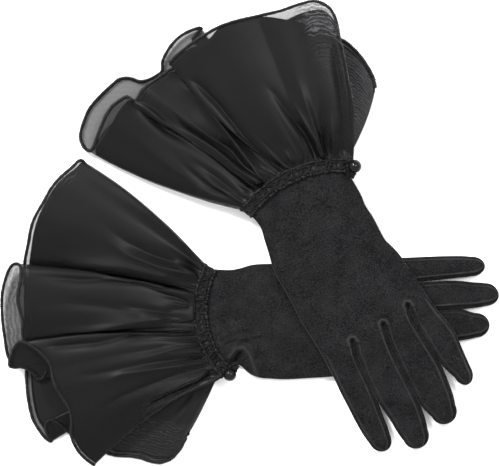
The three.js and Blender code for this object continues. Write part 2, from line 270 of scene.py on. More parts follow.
# Adds a node, sets its settings and inputs, and links inputs given as sockets.
def addNode(material, kind, settings=None, **inputs):
    node = material.node_tree.nodes.new(kind)
    for key, value in (settings or {}).items():
        setattr(node, key, value)
    for key, value in inputs.items():
        key = key.replace("_", " ")
        socket = node.inputs[int(key[1:])] if key[0] == "i" and key[1:].isdigit() else node.inputs[key]
        if isinstance(value, bpy.types.NodeSocket):
            material.node_tree.links.new(value, socket)
        else:
            socket.default_value = value
    return node


def stops(node, *pairs):
    ramp = node.color_ramp
    while len(ramp.elements) < len(pairs):
        ramp.elements.new(0.5)
    for element, (place, colour) in zip(ramp.elements, pairs):
        element.position = place
        element.color = linear(colour) if isinstance(colour, str) else (colour, colour, colour, 1)
    return node


clothLook = {
    # the knit's seam colour is a painted highlight on the seam ridges; glint is a painted glint on the
    # ruffles
    "knitDark": "#020203", "knitLight": "#1f1f20", "knitSeamHighlight": "#383839",
    "liningDark": "#050506", "liningLight": "#0b0b0d",
    "organza": "#0c0c0d", "glint": "#4c4c4e", "threadDark": "#040405", "threadLight": "#262627",
    "speckle": 1300,       # grains per metre of the brushed knit, a little coarser than real
    "organzaCover": 0.45,  # share of each face that the organza's threads cover
}


# Brushed stretch satin knit, nylon and elastane: matt, with a fine grain of fibre ends.
def knitMaterial():
    material, shader = newMaterial("stretchKnitBrushed", Roughness=0.75, Specular_IOR_Level=0.06,
                                   Sheen_Weight=0.07, Sheen_Roughness=0.35)
    place = addNode(material, "ShaderNodeTexCoord").outputs["Object"]
    grain = addNode(material, "ShaderNodeTexNoise", Vector=place, Scale=clothLook["speckle"],
                    Detail=3.0, Roughness=0.7)
    blotch = addNode(material, "ShaderNodeTexNoise", Vector=place, Scale=90.0, Detail=3.0)
    both = addNode(material, "ShaderNodeMath", {"operation": "MULTIPLY_ADD"},
                   i0=blotch.outputs["Fac"], i1=0.22, i2=grain.outputs["Fac"])
    tone = stops(addNode(material, "ShaderNodeValToRGB", Fac=both.outputs[0]),
                 (0.5, clothLook["knitDark"]), (0.76, clothLook["knitLight"]))
    # painted highlight: the colour is mixed towards a lighter grey along the raised finger seams and the
    # ridges round the crotch loops
    seamHighlightShare = addNode(material, "ShaderNodeAttribute", {"attribute_name": "paintedHighlightAndCover"})
    colour = addNode(material, "ShaderNodeMixRGB", Fac=seamHighlightShare.outputs["Fac"],
                     Color1=tone.outputs["Color"], Color2=linear(clothLook["knitSeamHighlight"]))
    material.node_tree.links.new(colour.outputs["Color"], shader.inputs["Base Color"])
    bump = addNode(material, "ShaderNodeBump", Height=grain.outputs["Fac"], Strength=0.5,
                   Distance=0.0003)
    material.node_tree.links.new(bump.outputs["Normal"], shader.inputs["Normal"])
    return material


# Woven polyester lining satin under the organza: soft lengthwise gloss on the folds.
def liningMaterial():
    material, shader = newMaterial("liningSatinWoven", Roughness=0.45, Specular_IOR_Level=0.13,
                                   Sheen_Weight=0.02, Sheen_Roughness=0.4)
    run = addNode(material, "ShaderNodeUVMap", {"uv_map": "cloth"}).outputs["UV"]
    threads = addNode(material, "ShaderNodeTexWave", {"bands_direction": "X"}, Vector=run,
                      Scale=90.0, Distortion=1.0, Detail=1.0, Detail_Scale=1.0)
    cloud = addNode(material, "ShaderNodeTexNoise", Vector=run, Scale=26.0, Detail=4.0)
    both = addNode(material, "ShaderNodeMath", {"operation": "MULTIPLY_ADD"},
                   i0=threads.outputs["Fac"], i1=0.04, i2=cloud.outputs["Fac"])
    tone = stops(addNode(material, "ShaderNodeValToRGB", Fac=both.outputs[0]),
                 (0.35, clothLook["liningDark"]), (0.85, clothLook["liningLight"]))
    # painted glint: swirling lighter streaks added to the colour in the given stretches of the strip
    glintAndCoverShare = addNode(material, "ShaderNodeAttribute", {"attribute_name": "paintedHighlightAndCover"})
    swirl = addNode(material, "ShaderNodeTexWave", {"bands_direction": "Y"}, Vector=run,
                    Scale=95.0, Distortion=9.0, Detail=3.0, Detail_Scale=1.4, Detail_Roughness=0.6)
    glintAndCoverMask = addNode(material, "ShaderNodeMath", {"operation": "MULTIPLY"},
                      i0=swirl.outputs["Fac"], i1=glintAndCoverShare.outputs["Fac"])
    shine = stops(addNode(material, "ShaderNodeValToRGB", Fac=glintAndCoverMask.outputs[0]),
                  (0.4, "#000000"), (1.0, clothLook["glint"]))
    colour = addNode(material, "ShaderNodeMixRGB", {"blend_type": "ADD"}, Fac=0.8,
                     Color1=tone.outputs["Color"], Color2=shine.outputs["Color"])
    material.node_tree.links.new(colour.outputs["Color"], shader.inputs["Base Color"])
    bump = addNode(material, "ShaderNodeBump", Height=cloud.outputs["Fac"], Strength=0.05,
                   Distance=0.0004)
    material.node_tree.links.new(bump.outputs["Normal"], shader.inputs["Normal"])
    return material


# Sheer woven organza: see-through between its threads, with painted glint streaks where its thread cover is
# also denser.
def organzaMaterial():
    material, shader = newMaterial("organzaWoven", Roughness=0.38, Specular_IOR_Level=0.17)
    run = addNode(material, "ShaderNodeUVMap", {"uv_map": "cloth"}).outputs["UV"]
    warp = addNode(material, "ShaderNodeTexWave", {"bands_direction": "X"}, Vector=run,
                   Scale=150.0, Distortion=1.5, Detail=1.0, Detail_Scale=0.6)
    weft = addNode(material, "ShaderNodeTexWave", {"bands_direction": "DIAGONAL"}, Vector=run,
                   Scale=110.0, Distortion=1.5, Detail=1.0, Detail_Scale=0.8)
    # painted glint: swirling lighter streaks in the colour; the same streaks also thicken the thread cover
    glintAndCoverShare = addNode(material, "ShaderNodeAttribute", {"attribute_name": "paintedHighlightAndCover"})
    swirl = addNode(material, "ShaderNodeTexWave", {"bands_direction": "Y"}, Vector=run,
                    Scale=95.0, Distortion=9.0, Detail=3.0, Detail_Scale=1.4, Detail_Roughness=0.6)
    glintAndCoverMask = addNode(material, "ShaderNodeMath", {"operation": "MULTIPLY"},
                      i0=swirl.outputs["Fac"], i1=glintAndCoverShare.outputs["Fac"])
    tone = stops(addNode(material, "ShaderNodeValToRGB", Fac=glintAndCoverMask.outputs[0]),
                 (0.45, clothLook["organza"]), (0.95, clothLook["glint"]))
    material.node_tree.links.new(tone.outputs["Color"], shader.inputs["Base Color"])
    threads = addNode(material, "ShaderNodeMath", {"operation": "MULTIPLY"},
                      i0=warp.outputs["Fac"], i1=weft.outputs["Fac"])
    cover = addNode(material, "ShaderNodeMath", {"operation": "MULTIPLY_ADD"},
                    i0=threads.outputs[0], i1=0.03, i2=clothLook["organzaCover"] - 0.01)
    total = addNode(material, "ShaderNodeMath", {"operation": "MULTIPLY_ADD"},
                    i0=glintAndCoverMask.outputs[0], i1=0.3, i2=cover.outputs[0])
    material.node_tree.links.new(total.outputs[0], shader.inputs["Alpha"])
    return material


# Spun polyester thread, twisted and rolled over the edge: dark cord with pale stitch tops.
def threadMaterial():
    material, shader = newMaterial("polyesterThreadSpun", Roughness=0.55, Specular_IOR_Level=0.14)
    place = addNode(material, "ShaderNodeTexCoord").outputs["Object"]
    twist = addNode(material, "ShaderNodeTexNoise", Vector=place, Scale=900.0, Detail=2.0)
    tone = stops(addNode(material, "ShaderNodeValToRGB", Fac=twist.outputs["Fac"]),
                 (0.5, clothLook["threadDark"]), (0.75, clothLook["threadLight"]))
    material.node_tree.links.new(tone.outputs["Color"], shader.inputs["Base Color"])
    bump = addNode(material, "ShaderNodeBump", Height=twist.outputs["Fac"], Strength=0.6,
                   Distance=0.0003)
    material.node_tree.links.new(bump.outputs["Normal"], shader.inputs["Normal"])
    return material


# Covered rubber elastic, braided: matt with crosswise ribs.
def elasticMaterial():
    material, shader = newMaterial("elasticBraided", Roughness=0.85, Specular_IOR_Level=0.2)
    place = addNode(material, "ShaderNodeTexCoord").outputs["Object"]
    ribs = addNode(material, "ShaderNodeTexWave", Vector=place, Scale=500.0, Distortion=1.0)
    tone = stops(addNode(material, "ShaderNodeValToRGB", Fac=ribs.outputs["Fac"]),
                 (0.3, "#111112"), (0.8, "#262627"))
    material.node_tree.links.new(tone.outputs["Color"], shader.inputs["Base Color"])
    return material


# Moulded acrylic bead, polished: a clear black gloss with sharp window lights.
def beadMaterial():
    material, shader = newMaterial("acrylicBeadPolished", Roughness=0.08, IOR=1.49,
                                   Specular_IOR_Level=0.2)
    place = addNode(material, "ShaderNodeTexCoord").outputs["Object"]
    haze = addNode(material, "ShaderNodeTexNoise", Vector=place, Scale=400.0, Detail=2.0)
    tone = stops(addNode(material, "ShaderNodeValToRGB", Fac=haze.outputs["Fac"]),
                 (0.4, "#050506"), (0.8, "#0c0c0e"))
    material.node_tree.links.new(tone.outputs["Color"], shader.inputs["Base Color"])
    return material


knit, lining, organza = knitMaterial(), liningMaterial(), organzaMaterial()
thread, elastic, beadGloss = threadMaterial(), elasticMaterial(), beadMaterial()
print("materials made")


# The hand and the fingers: two flat-lying panels meeting at their edges
handShape = {
    "halfHeight": 3.45,   # mm, half the height of the lying hand
    "wristHalf": 3.15,
    "rows": 160, "sectorColumns": 42,
    "grooveReach": 0.88,  # where along the hand the grooves between the fingers begin
    "endDip": 0.35,       # how far its end dips under the fingers' cloth
    "wall": 0.0007,       # m, thickness of the knit
}
handPlan = {
    "left": {
        "low": [(8, -36), (20, -36), (28, -35), (38, -35.5), (48, -35), (55, -35), (60, -36.5), (66, -38),
                (80, -39.5), (92, -40.3), (104, -41)],
        "high": [(-4, 35.5), (5, 34), (14, 36), (23, 38), (31, 40), (40, 41), (57, 41), (75, 42), (90, 41.3),
                 (103, 41.2)],
        "crotches": [(104, -41), (104, -25.6), (107, -5), (106.5, 18.8), (103, 41.2)],
        "marks": [
            {"line": [(16, -33), (40, -33.4), (80, -37), (100, -39)], "high": 0.35, "wide": 0.8},
            {"line": [(95, -29.5), (97, -25), (101, -23.5)], "high": 0.5, "wide": 0.8},
            {"line": [(95, -22.5), (97, -25)], "high": 0.4, "wide": 0.7},
            {"line": [(107, -8.6), (102, -8), (100.2, -5.4), (101.6, -2.8), (107, -1.6)],
             "high": 2.3, "wide": 0.9, "ridgeHighlight": 0.5},
            {"line": [(106, 15.2), (101.4, 15.8), (99.8, 18.4), (101, 21), (106, 22.2)],
             "high": 2.3, "wide": 0.9, "ridgeHighlight": 0.5},
            {"line": [(104, -29.4), (99, -28.6), (97.4, -26), (99, -23.4), (104, -22.6)],
             "high": 2.3, "wide": 0.9, "ridgeHighlight": 0.5},
            {"line": [(108, -5), (102.6, -5.4)], "high": -1.4, "wide": 1.0},
            {"line": [(107, 18.8), (102.4, 18.4)], "high": -1.4, "wide": 1.0},
            {"line": [(105, -25.6), (99.8, -26)], "high": -1.4, "wide": 1.0},
            {"line": [(20, 26), (42, 22), (60, 27)], "high": 0.25, "wide": 5},
            {"line": [(60, -20), (80, -5)], "high": -0.3, "wide": 7},
            {"line": [(30, 0), (52, 8)], "high": 0.3, "wide": 6},
        ],
    },
    "right": {
        "low": [(14, -33), (17, -36), (22, -40), (27, -42), (34, -43), (44, -44), (60, -44), (77, -43.8),
                (92, -42.5), (107, -41.2)],
        "high": [(2, 33), (11, 32.3), (17, 33), (26, 35), (39, 35), (60, 35), (80, 35), (95, 35),
                 (107, 34.8)],
        "crotches": [(107, -41.2), (107, -23.6), (107, -3.2), (107, 17.2), (107, 34.8)],
        "marks": [
            {"line": [(14, -24), (11.5, -27), (9, -31)], "high": -3.2, "wide": 1.5},
            {"line": [(15, -26), (12, -30), (10, -34)], "high": -2.4, "wide": 1.4},
            {"line": [(7, -27), (12, -21.5), (17.5, -21), (21, -26), (23, -33), (25, -40)],
             "high": 2.0, "wide": 1.5, "ridgeHighlight": 0.25},
            {"line": [(8, -22), (16, -15), (28, -13)], "high": 1.1, "wide": 1.5},
            {"line": [(3, -13), (14, -8), (24, -9)], "high": 0.8, "wide": 1.5},
            {"line": [(6, -18), (15, -16), (24, -20)], "high": -1.0, "wide": 1.3},
            {"line": [(20, -18), (32, -24), (40, -36)], "high": 0.5, "wide": 2.6},
            {"line": [(-4, 2), (8, 5), (20, 4)], "high": 0.35, "wide": 2.2},
            {"line": [(-2, -6), (10, -2), (26, -2)], "high": -0.3, "wide": 2.0},
            {"line": [(8, 24), (30, 20), (50, 24)], "high": 0.25, "wide": 5},
        ],
    },
}


# How high the upper panel stands across a tube of cloth, 0 at its edges and 1 in the middle.
def pillow(across, fullness):
    return np.sqrt(np.clip(1 - np.abs(2 * across - 1) ** fullness, 0, 1))


def makeHand(side):
    plan, glove = handPlan[side], gloves[side]
    rows, sector = handShape["rows"], handShape["sectorColumns"]
    share = np.linspace(0, 1, sector + 1)
    share = 0.5 - 0.5 * np.cos(math.pi * share) * 0.35 - 0.5 * 0.65 * (1 - 2 * share)
    crotches = np.array(plan["crotches"], float)
    knuckle, local, across = [], [], []
    spread = np.cumsum([0] + list(np.abs(np.diff(crotches[:, 1]))))
    for i in range(4):
        part = share if i == 3 else share[:-1]
        knuckle.append(crotches[i] + (crotches[i + 1] - crotches[i]) * part[:, None])
        local.append(part)
        across.append((spread[i] + (spread[i + 1] - spread[i]) * part) / spread[-1])
    knuckle, local, across = np.concatenate(knuckle), np.concatenate(local), np.concatenate(across)
    wristU, wristV = wristArc(side, 1 - (0.015 + 0.97 * across), -2.6)
    wrist = np.stack([wristU, wristV], -1)
    along = np.linspace(0, 1, rows)[:, None]
    lowLine = smoothLine([tuple(wrist[0])] + plan["low"], rows)
    highLine = smoothLine([tuple(wrist[-1])] + plan["high"], rows)
    middle = wrist[None] * (1 - along[..., None]) + knuckle[None] * along[..., None]
    lowShift = (lowLine - middle[:, 0])[:, None] * (1 - across)[None, :, None]
    highShift = (highLine - middle[:, -1])[:, None] * across[None, :, None]
    flat = middle + lowShift + highShift
    u, v = flat[..., 0], flat[..., 1]
    groove = smooth((along - handShape["grooveReach"]) / (1 - handShape["grooveReach"])) ** 1.6
    half = handShape["wristHalf"] + (handShape["halfHeight"] - handShape["wristHalf"]) * smooth(along * 4)
    centre = glove["level"] + half + 0.2 * (1 - smooth(along * 5))
    top = (1 - groove) * pillow(across, 7)[None] + groove * pillow(local, 3.2)[None]
    under = (1 - groove) * pillow(across, 9)[None] + groove * pillow(local, 4)[None]
    calm = np.minimum(1, 4 * pillow(across, 2)[None] ** 2) * (1 - groove)
    lift = 0.22 * ripple2(u, v, 23, 4) + 0.10 * ripple2(u, v, 9, 5)
    lift = lift + 0.35 * np.exp(-along * 16) * ripple(across * 90 + 3, 5, 8)[None]
    edgeCalm = np.minimum(1, 4 * pillow(across, 2)[None] ** 2) * (1 - 0.75 * smooth((along - 0.985) / 0.015))
    # marks may also carry a painted highlight, a share of lighter colour along their ridge
    drawn, ridgeHighlight = 0 * u, 0 * u
    for mark in plan["marks"]:
        near = nearLine(u, v, mark["line"], mark["wide"])
        drawn = drawn + mark["high"] * near
        ridgeHighlight = np.maximum(ridgeHighlight, mark.get("ridgeHighlight", 0) * near)
    upper = centre + half * top + lift * calm + drawn * edgeCalm
    upper = upper - handShape["endDip"] * smooth((along - 0.985) / 0.015)
    lower = centre - half * under
    upper = np.maximum(upper, lower)
    points = np.concatenate([np.stack([u, v, upper], -1),
                             np.stack([u, v, lower], -1)[:, ::-1][:, 1:-1]], 1)
    ridgeHighlight = np.concatenate([ridgeHighlight, 0 * ridgeHighlight[:, 2:]], 1)
    piece = gridMesh(side + "_hand_skin", toWorld(side, points), closed=True,
                     flip=glove["mirror"] > 0, paintedHighlightAndCover=ridgeHighlight)
    thicken(piece, handShape["wall"])
    dress(piece, knit, "stretch_knit", side + "_palm_panel", side + "_back_panel")
    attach(piece, side + "_glove")
    return piece


fingerShape = {"rows": 110, "columns": 56, "wall": 0.0007, "bend": 24, "under": 2.6, "startDip": 0.5,
               "tipReach": 9.0}
fingerPlan = {
    "left": {
        "index": {"low": [(106.5, 18.8), (112, 20.4), (118, 21.3), (130, 22.2), (146, 23.8), (155, 25.4),
                          (166, 27),
                          (173, 29), (177, 31.6), (179, 35.5)],
                  "high": [(103, 41.2), (118, 42), (129, 43), (139, 43.4), (151, 44), (162, 44), (170, 43),
                           (175.5, 41), (178.6, 37.5), (179, 35.5)],
                  "slope": 6, "base": (103, 30), "tip": (178, 35.6), "seams": (3.4, 2.6)},
        "middle": {"low": [(107, -5), (117, -3.2), (134, -1.6), (154, -0.6), (164, 0.3), (173, 2), (181, 4.6),
                           (186.5, 8), (189, 14)],
                   "high": [(106.5, 18.8), (112, 20.6), (118, 21.4), (129, 22.9), (144, 24.2), (152, 24),
                            (163, 23.2),
                            (173, 23), (180, 22), (186, 19), (189, 14)],
                   "slope": 3.4, "base": (103, 6.3), "tip": (189, 14.2), "seams": (3.6, 2.8)},
        "ring": {"low": [(104, -25.6), (111, -24.8), (130, -25.3), (146, -25.6), (160, -23.9), (169, -22.2),
                         (177, -19.4), (182, -15.6), (184, -10.8)],
                 "high": [(107, -5), (117, -3), (136, -0.9), (149, -0.1), (163, 0.4), (171, -1.2),
                          (177, -3.6), (182, -7.5), (184, -10.8)],
                 "slope": 2, "base": (103, -16.9), "tip": (182.5, -10.8), "seams": (3.6, 2.6)},
        "little": {"low": [(104, -41), (115, -42), (124, -43.8), (133, -44.6), (147, -43), (155, -42.2),
                           (163, -40.8), (166.5, -38), (167.6, -35)],
                   "high": [(104, -25.6), (109, -25), (115, -24.2), (123, -24.4), (134, -24.6), (142, -25),
                            (149, -26), (156, -28), (162, -30.4), (166, -33), (167.6, -35)],
                   "slope": 1.2, "base": (103, -35.5), "tip": (167.5, -35.6), "seams": (2.4, 3.0)},
    },
    "right": {
        "index": {"low": [(107, 17.2), (120, 17.1), (133, 17.2), (146, 17.8), (163, 18.6), (172, 19),
                          (178, 20),
                          (182, 22.4), (183.6, 26)],
                  "high": [(107, 34.8), (128, 34.4), (158, 34), (171, 33.2), (177, 32), (181, 29.6),
                           (183.6, 26)],
                  "slope": 0, "base": (107, 26), "tip": (184, 26), "seams": (3.0, 2.4)},
        "middle": {"low": [(107, -3.2), (130, -3), (150, -2.8), (167, -2.6), (177, -2.2), (184, -1),
                           (189, 1.4), (192, 5.5)],
                   "high": [(107, 17.2), (125, 17.5), (140, 17.2), (163, 17), (174, 15.4), (183, 14.2),
                            (188, 11.6),
                            (191.4, 8), (192, 5.5)],
                   "slope": 0, "base": (107, 7), "tip": (192.5, 6.5), "seams": (3.4, 2.6)},
        "ring": {"low": [(107, -23.6), (130, -24), (150, -24.2), (163, -24), (171, -23.2), (178, -21.6),
                         (182.6, -18.6), (184.6, -14)],
                 "high": [(107, -3.2), (130, -2.4), (152, -2.2), (165, -2.4), (173, -5), (179, -7),
                          (183.4, -10.6), (184.6, -14)],
                 "slope": 0, "base": (107, -13.6), "tip": (184.5, -13.2), "seams": (3.4, 2.6)},
        "little": {"low": [(107, -41.2), (125, -40.2), (145, -38.9), (156, -37.8), (161, -36), (164.6, -32)],
                   "high": [(107, -23.6), (125, -24.4), (145, -25), (156, -25.8), (161, -28), (164.6, -32)],
                   "slope": 0, "base": (107, -32.6), "tip": (165, -31.5), "seams": (2.6, 2.4)},
    },
}


# One finger, from the crotch to its tip, with raised seams along its two forchette edges.
def makeFinger(side, name):
    plan, glove = fingerPlan[side][name], gloves[side]
    rows, columns = fingerShape["rows"], fingerShape["columns"]
    base, tip = np.array(plan["base"], float), np.array(plan["tip"], float)
    way = (tip - base) / np.linalg.norm(tip - base)
    beside, reach = np.array([-way[1], way[0]]), fingerShape["tipReach"]
    edges = []
    for line in (plan["low"], plan["high"]):
        edge = smoothLine([(line[0][0] - fingerShape["under"], line[0][1])] + line, 400)
        end = edge[-1]
        start = int(np.argmax((end - edge) @ way < reach))
        turn = np.linspace(0, math.pi / 2, 401 - start)[1:, None]
        wide = float((edge[start - 1] - end) @ beside)
        edge[start:] = end - way * reach * (1 - np.sin(turn)) + beside * wide * np.cos(turn)
        edges.append(edge)
    low, high = edges
    along = np.linspace(0, 1, rows)
    along = 1 - (1 - along) ** 1.25
    pickRows = along * 399
    low = np.stack([np.interp(pickRows, np.arange(400), c) for c in low.T], -1)
    high = np.stack([np.interp(pickRows, np.arange(400), c) for c in high.T], -1)
    share = np.linspace(0, 1, columns + 1)
    share = 0.5 - 0.5 * np.cos(math.pi * share) * 0.35 - 0.5 * 0.65 * (1 - 2 * share)
    flat = low[:, None] + (high - low)[:, None] * share[None, :, None]
    u, v = flat[..., 0], flat[..., 1]
    width = np.linalg.norm(high - low, axis=1)
    fromTip = np.linalg.norm(low + (high - low) / 2 - (low[-1] + high[-1]) / 2, axis=1)
    roundTip = np.sqrt(np.clip(1 - (1 - np.clip(fromTip / 9, 0, 1)) ** 2, 0, 1))
    half = (handShape["halfHeight"] * roundTip)[:, None]
    slope = math.tan(math.radians(plan["slope"]))
    start = 1 - smooth(along * 9)
    fall = slope * np.maximum(0, u - glove["knuckles"])
    centre = glove["level"] + handShape["halfHeight"] - fall - (handShape["halfHeight"] - half) * 0.35
    fullness = 3.2 - 0.5 * (1 - start)[:, None]
    top, under = pillow(share[None], fullness), pillow(share, 4)[None]
    calm = ((1 - start) * roundTip)[:, None]
    lowSeam, highSeam = plan["seams"]
    fromLow, fromHigh = share[None] * width[:, None], (1 - share)[None] * width[:, None]
    lift, ridgeHighlight = 0.0, 0.0
    # each seam ridge gets a painted highlight, a patchy lighter colour along its top
    for away, seam, high, seamHighlight in ((fromLow, lowSeam, 1.15, 0.62), (fromHigh, highSeam, 0.8, 0.34)):
        lift = lift + high * np.exp(-((away - seam) / 0.5) ** 2)
        lift = lift - 0.8 * high * np.exp(-((away - seam + 1.2) / 0.6) ** 2)
        patchy = 0.65 + 0.35 * ripple2(u, v, 9, 71)
        ridgeHighlight = ridgeHighlight + seamHighlight * np.exp(-((away - seam) / 0.55) ** 2) * patchy * roundTip[:, None]
    seed = sum(ord(letter) for letter in side + name)
    lift = lift + 0.28 * ripple2(u, v, 16, seed) + 0.12 * ripple2(u * 1.6, v * 0.7, 7, seed + 1)
    lift = lift * np.clip(pillow(share, 2) * 1.6, 0, 1)[None]
    upper = centre + half * top + lift * calm - fingerShape["startDip"] * (1 - smooth(along / 0.03))[:, None]
    lower = centre - half * under
    points = np.concatenate([np.stack([u, v, upper], -1),
                             np.stack([u, v, lower], -1)[:, ::-1][:, 1:-1]], 1)
    ridgeHighlight = np.concatenate([ridgeHighlight, 0 * ridgeHighlight[:, 2:]], 1)
    piece = gridMesh(side + "_" + name + "_skin", toWorld(side, points), closed=True,
                     flip=glove["mirror"] > 0, paintedHighlightAndCover=ridgeHighlight)
    pick(piece)
    bpy.ops.object.mode_set(mode="EDIT")
    bpy.ops.mesh.select_all(action="SELECT")
    bpy.ops.mesh.remove_doubles(threshold=0.00002)
    bpy.ops.object.mode_set(mode="OBJECT")
    thicken(piece, fingerShape["wall"])
    nodes = [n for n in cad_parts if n.startswith(side + "_" + name + "_")]
    dress(piece, knit, "stretch_knit", *nodes)
    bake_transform(piece)
    return piece


thumbPlan = {
    "right": {"base": (46, 33), "heading": 45, "length": 64, "radii": (10.5, 8.2), "low": 0.0, "high": 6.9,
              "inside": -6},
    "left": {"base": (40, 27), "heading": -14, "length": 64, "radii": (10.5, 8.2), "low": -2.0, "high": -0.4,
             "inside": -9},
}


def makeThumb(side):
    plan, glove = thumbPlan[side], gloves[side]
    rows, columns = 74, 26
    rootRadius, tipRadius = plan["radii"]
    reach = np.linspace(0, 1, rows)
    reach = plan["inside"] + (plan["length"] - plan["inside"]) * (1 - (1 - reach) ** 1.4)
    tipCentre = plan["length"] - tipRadius
    radius = rootRadius + (tipRadius - rootRadius) * np.clip(reach / tipCentre, 0, 1)
    past = np.clip((reach - tipCentre) / tipRadius, 0, 1)
    radius = radius * np.sqrt(1 - past**2) * (0.45 + 0.55 * smooth((reach - plan["inside"]) / 17))
    share = np.linspace(0, 1, columns + 1)
    share = 0.5 - 0.5 * np.cos(math.pi * share) * 0.35 - 0.5 * 0.65 * (1 - 2 * share)
    angle = math.radians(plan["heading"])
    side1 = radius[:, None] * (2 * share - 1)[None]
    u = plan["base"][0] + reach[:, None] * math.cos(angle) - side1 * math.sin(angle)
    v = plan["base"][1] + reach[:, None] * math.sin(angle) + side1 * math.cos(angle)
    tall = (plan["high"] - plan["low"]) / 2
    half = tall * np.sqrt(np.clip(1 - past**4, 0, 1))[:, None]
    lift = 0.05 * tall * ripple2(u, v, 14, 61) * pillow(share, 2)[None]
    seam = 0.1 * tall * np.exp(-((side1 - 2) / 0.8) ** 2)
    upper = glove["level"] + plan["low"] + tall + half * pillow(share, 2.8)[None]
    upper = upper + (lift + seam) * (half / tall)
    lower = glove["level"] + plan["low"] + tall - half * pillow(share, 4)[None]
    points = np.concatenate([np.stack([u, v, upper], -1),
                             np.stack([u, v, lower], -1)[:, ::-1][:, 1:-1]], 1)
    piece = gridMesh(side + "_thumb_skin", toWorld(side, points), closed=True,
                     flip=glove["mirror"] > 0)
    pick(piece)
    bpy.ops.object.mode_set(mode="EDIT")
    bpy.ops.mesh.select_all(action="SELECT")
    bpy.ops.mesh.remove_doubles(threshold=0.00002)
    bpy.ops.object.mode_set(mode="OBJECT")
    thicken(piece, 0.0005)
    dress(piece, knit, "stretch_knit", side + "_thumb_palm", side + "_thumb_back")
    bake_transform(piece)
    return piece


for side in gloves:
    makeHand(side)
    for name in fingerPlan[side]:
        makeFinger(side, name)
    makeThumb(side)
print("hands and fingers made")


# The shirred wrist band, its elastic and the two gathering cords beside it
bandShape = {
    "half": 3.3, "high": 8.0, "crown": 0.62, "placketCrown": 1.02, "columns": 900, "rows": 26,
    "halfGirth": 78,
    "pleat": 1.9, "pleatDepth": 1.0, "lump": 0.9, "cordRadius": 1.15, "wall": 0.0004,
}


# The line round the flattened wrist from the placket over the top to the thumb side and back
# underneath: round runs from 0 to 2.
def wristRound(side, round_, towardsCuff, inset=0.0):
    across = np.where(round_ < 1, 1 - round_, round_ - 1)
    across = 0.012 + 0.976 * np.clip(across, 0, 1) + 0.05 * smooth(1 - round_ / 0.12)
    u, v = wristArc(side, across, towardsCuff)
    middle = 2 * np.clip(across, 0, 1) - 1
    crown = bandShape["crown"] + (1 - bandShape["crown"]) * np.sqrt(1 - middle**2)
    crown = crown + (bandShape["placketCrown"] - crown) * smooth(1.4 - round_ / 0.11)
    top = bandShape["high"] / 2 * (1 + crown) - inset
    turn = smooth((round_ - 0.955) / 0.09)
    level = gloves[side]["level"]
    height = level + top * (1 - turn) + (0.4 + inset) * turn
    return u, v, height


def makeBand(side):
    shape = bandShape
    round_ = np.linspace(0.0, 2.0, shape["columns"])
    length = round_ * shape["halfGirth"]
    across = np.linspace(-1, 1, shape["rows"])
    u, v, z = (np.empty((shape["rows"], shape["columns"])) for _ in range(3))
    slant = ripple(length, 4.0, 22)
    outward = np.where(round_ < 1, 1.0, -0.3)
    for row, place in enumerate(across):
        wave = ripple(length + 1.2 * place * slant, shape["pleat"], 21)
        edge = math.exp(-((abs(place) - 0.62) / 0.16) ** 2)
        fall = math.exp(-(place / 0.42) ** 2)
        wander = 0.16 * ripple(length, 5, 23 + (place > 0))
        u[row], v[row], z[row] = wristRound(side, round_, shape["half"] * place + wander)
        z[row] += outward * (0.75 * edge * (0.6 + 0.7 * ripple(length, 1.7, 25 + (place > 0)))
                             + shape["pleatDepth"] * wave * (0.4 + 0.6 * fall) - 0.35 * fall
                             + shape["lump"] * ripple2(length, shape["half"] * place + 0 * length, 2.6, 27)
                             - 0.9 * (abs(place) > 0.97))
    piece = gridMesh(side + "_wrist_band_cloth", toWorld(side, np.stack([u, v, z], -1)),
                     flip=gloves[side]["mirror"] < 0)
    thicken(piece, shape["wall"])
    dress(piece, knit, "stretch_knit", side + "_wrist_band")
    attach(piece, side + "_glove")
    rows = np.linspace(-0.8, 0.8, 8)[:, None] * shape["half"]
    few = np.linspace(0.02, 1.98, 160)
    u, v, z = wristRound(side, np.repeat(few[None], 8, 0), rows, 1.1)
    z = z + 0.12 * np.sin(few * 260)[None]
    inner = gridMesh(side + "_elastic_strip", toWorld(side, np.stack([u, v, z], -1)),
                     flip=gloves[side]["mirror"] < 0)
    thicken(inner, 0.0004)
    dress(inner, elastic, "elastic", side + "_wrist_elastic")
    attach(inner, side + "_glove")
    for cord, place, seed in (("cuff", 3.9, 31), ("hand", -3.9, 32)):
        fine = np.linspace(0.0, 2.0, 620)
        run = fine * shape["halfGirth"]
        wander = 0.3 * ripple(run, 4.2, seed)
        u, v, z = wristRound(side, fine, place + wander)
        wave = 0.25 + 0.4 * ripple(run, 2.6, seed + 5)
        z = z + np.where(fine < 1, 1, -0.2) * wave - np.where(fine < 1, 0.4, -0.5)
        radius = (shape["cordRadius"] * (0.84 + 0.42 * ripple(run, 1.9, seed + 9))) / 1000
        rope = tubeMesh(side + "_gathering_" + cord, toWorld(side, np.stack([u, v, z], -1)), radius, 8)
        dress(rope, thread, "thread", side + "_gathering_cord_" + cord)
        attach(rope, side + "_glove")


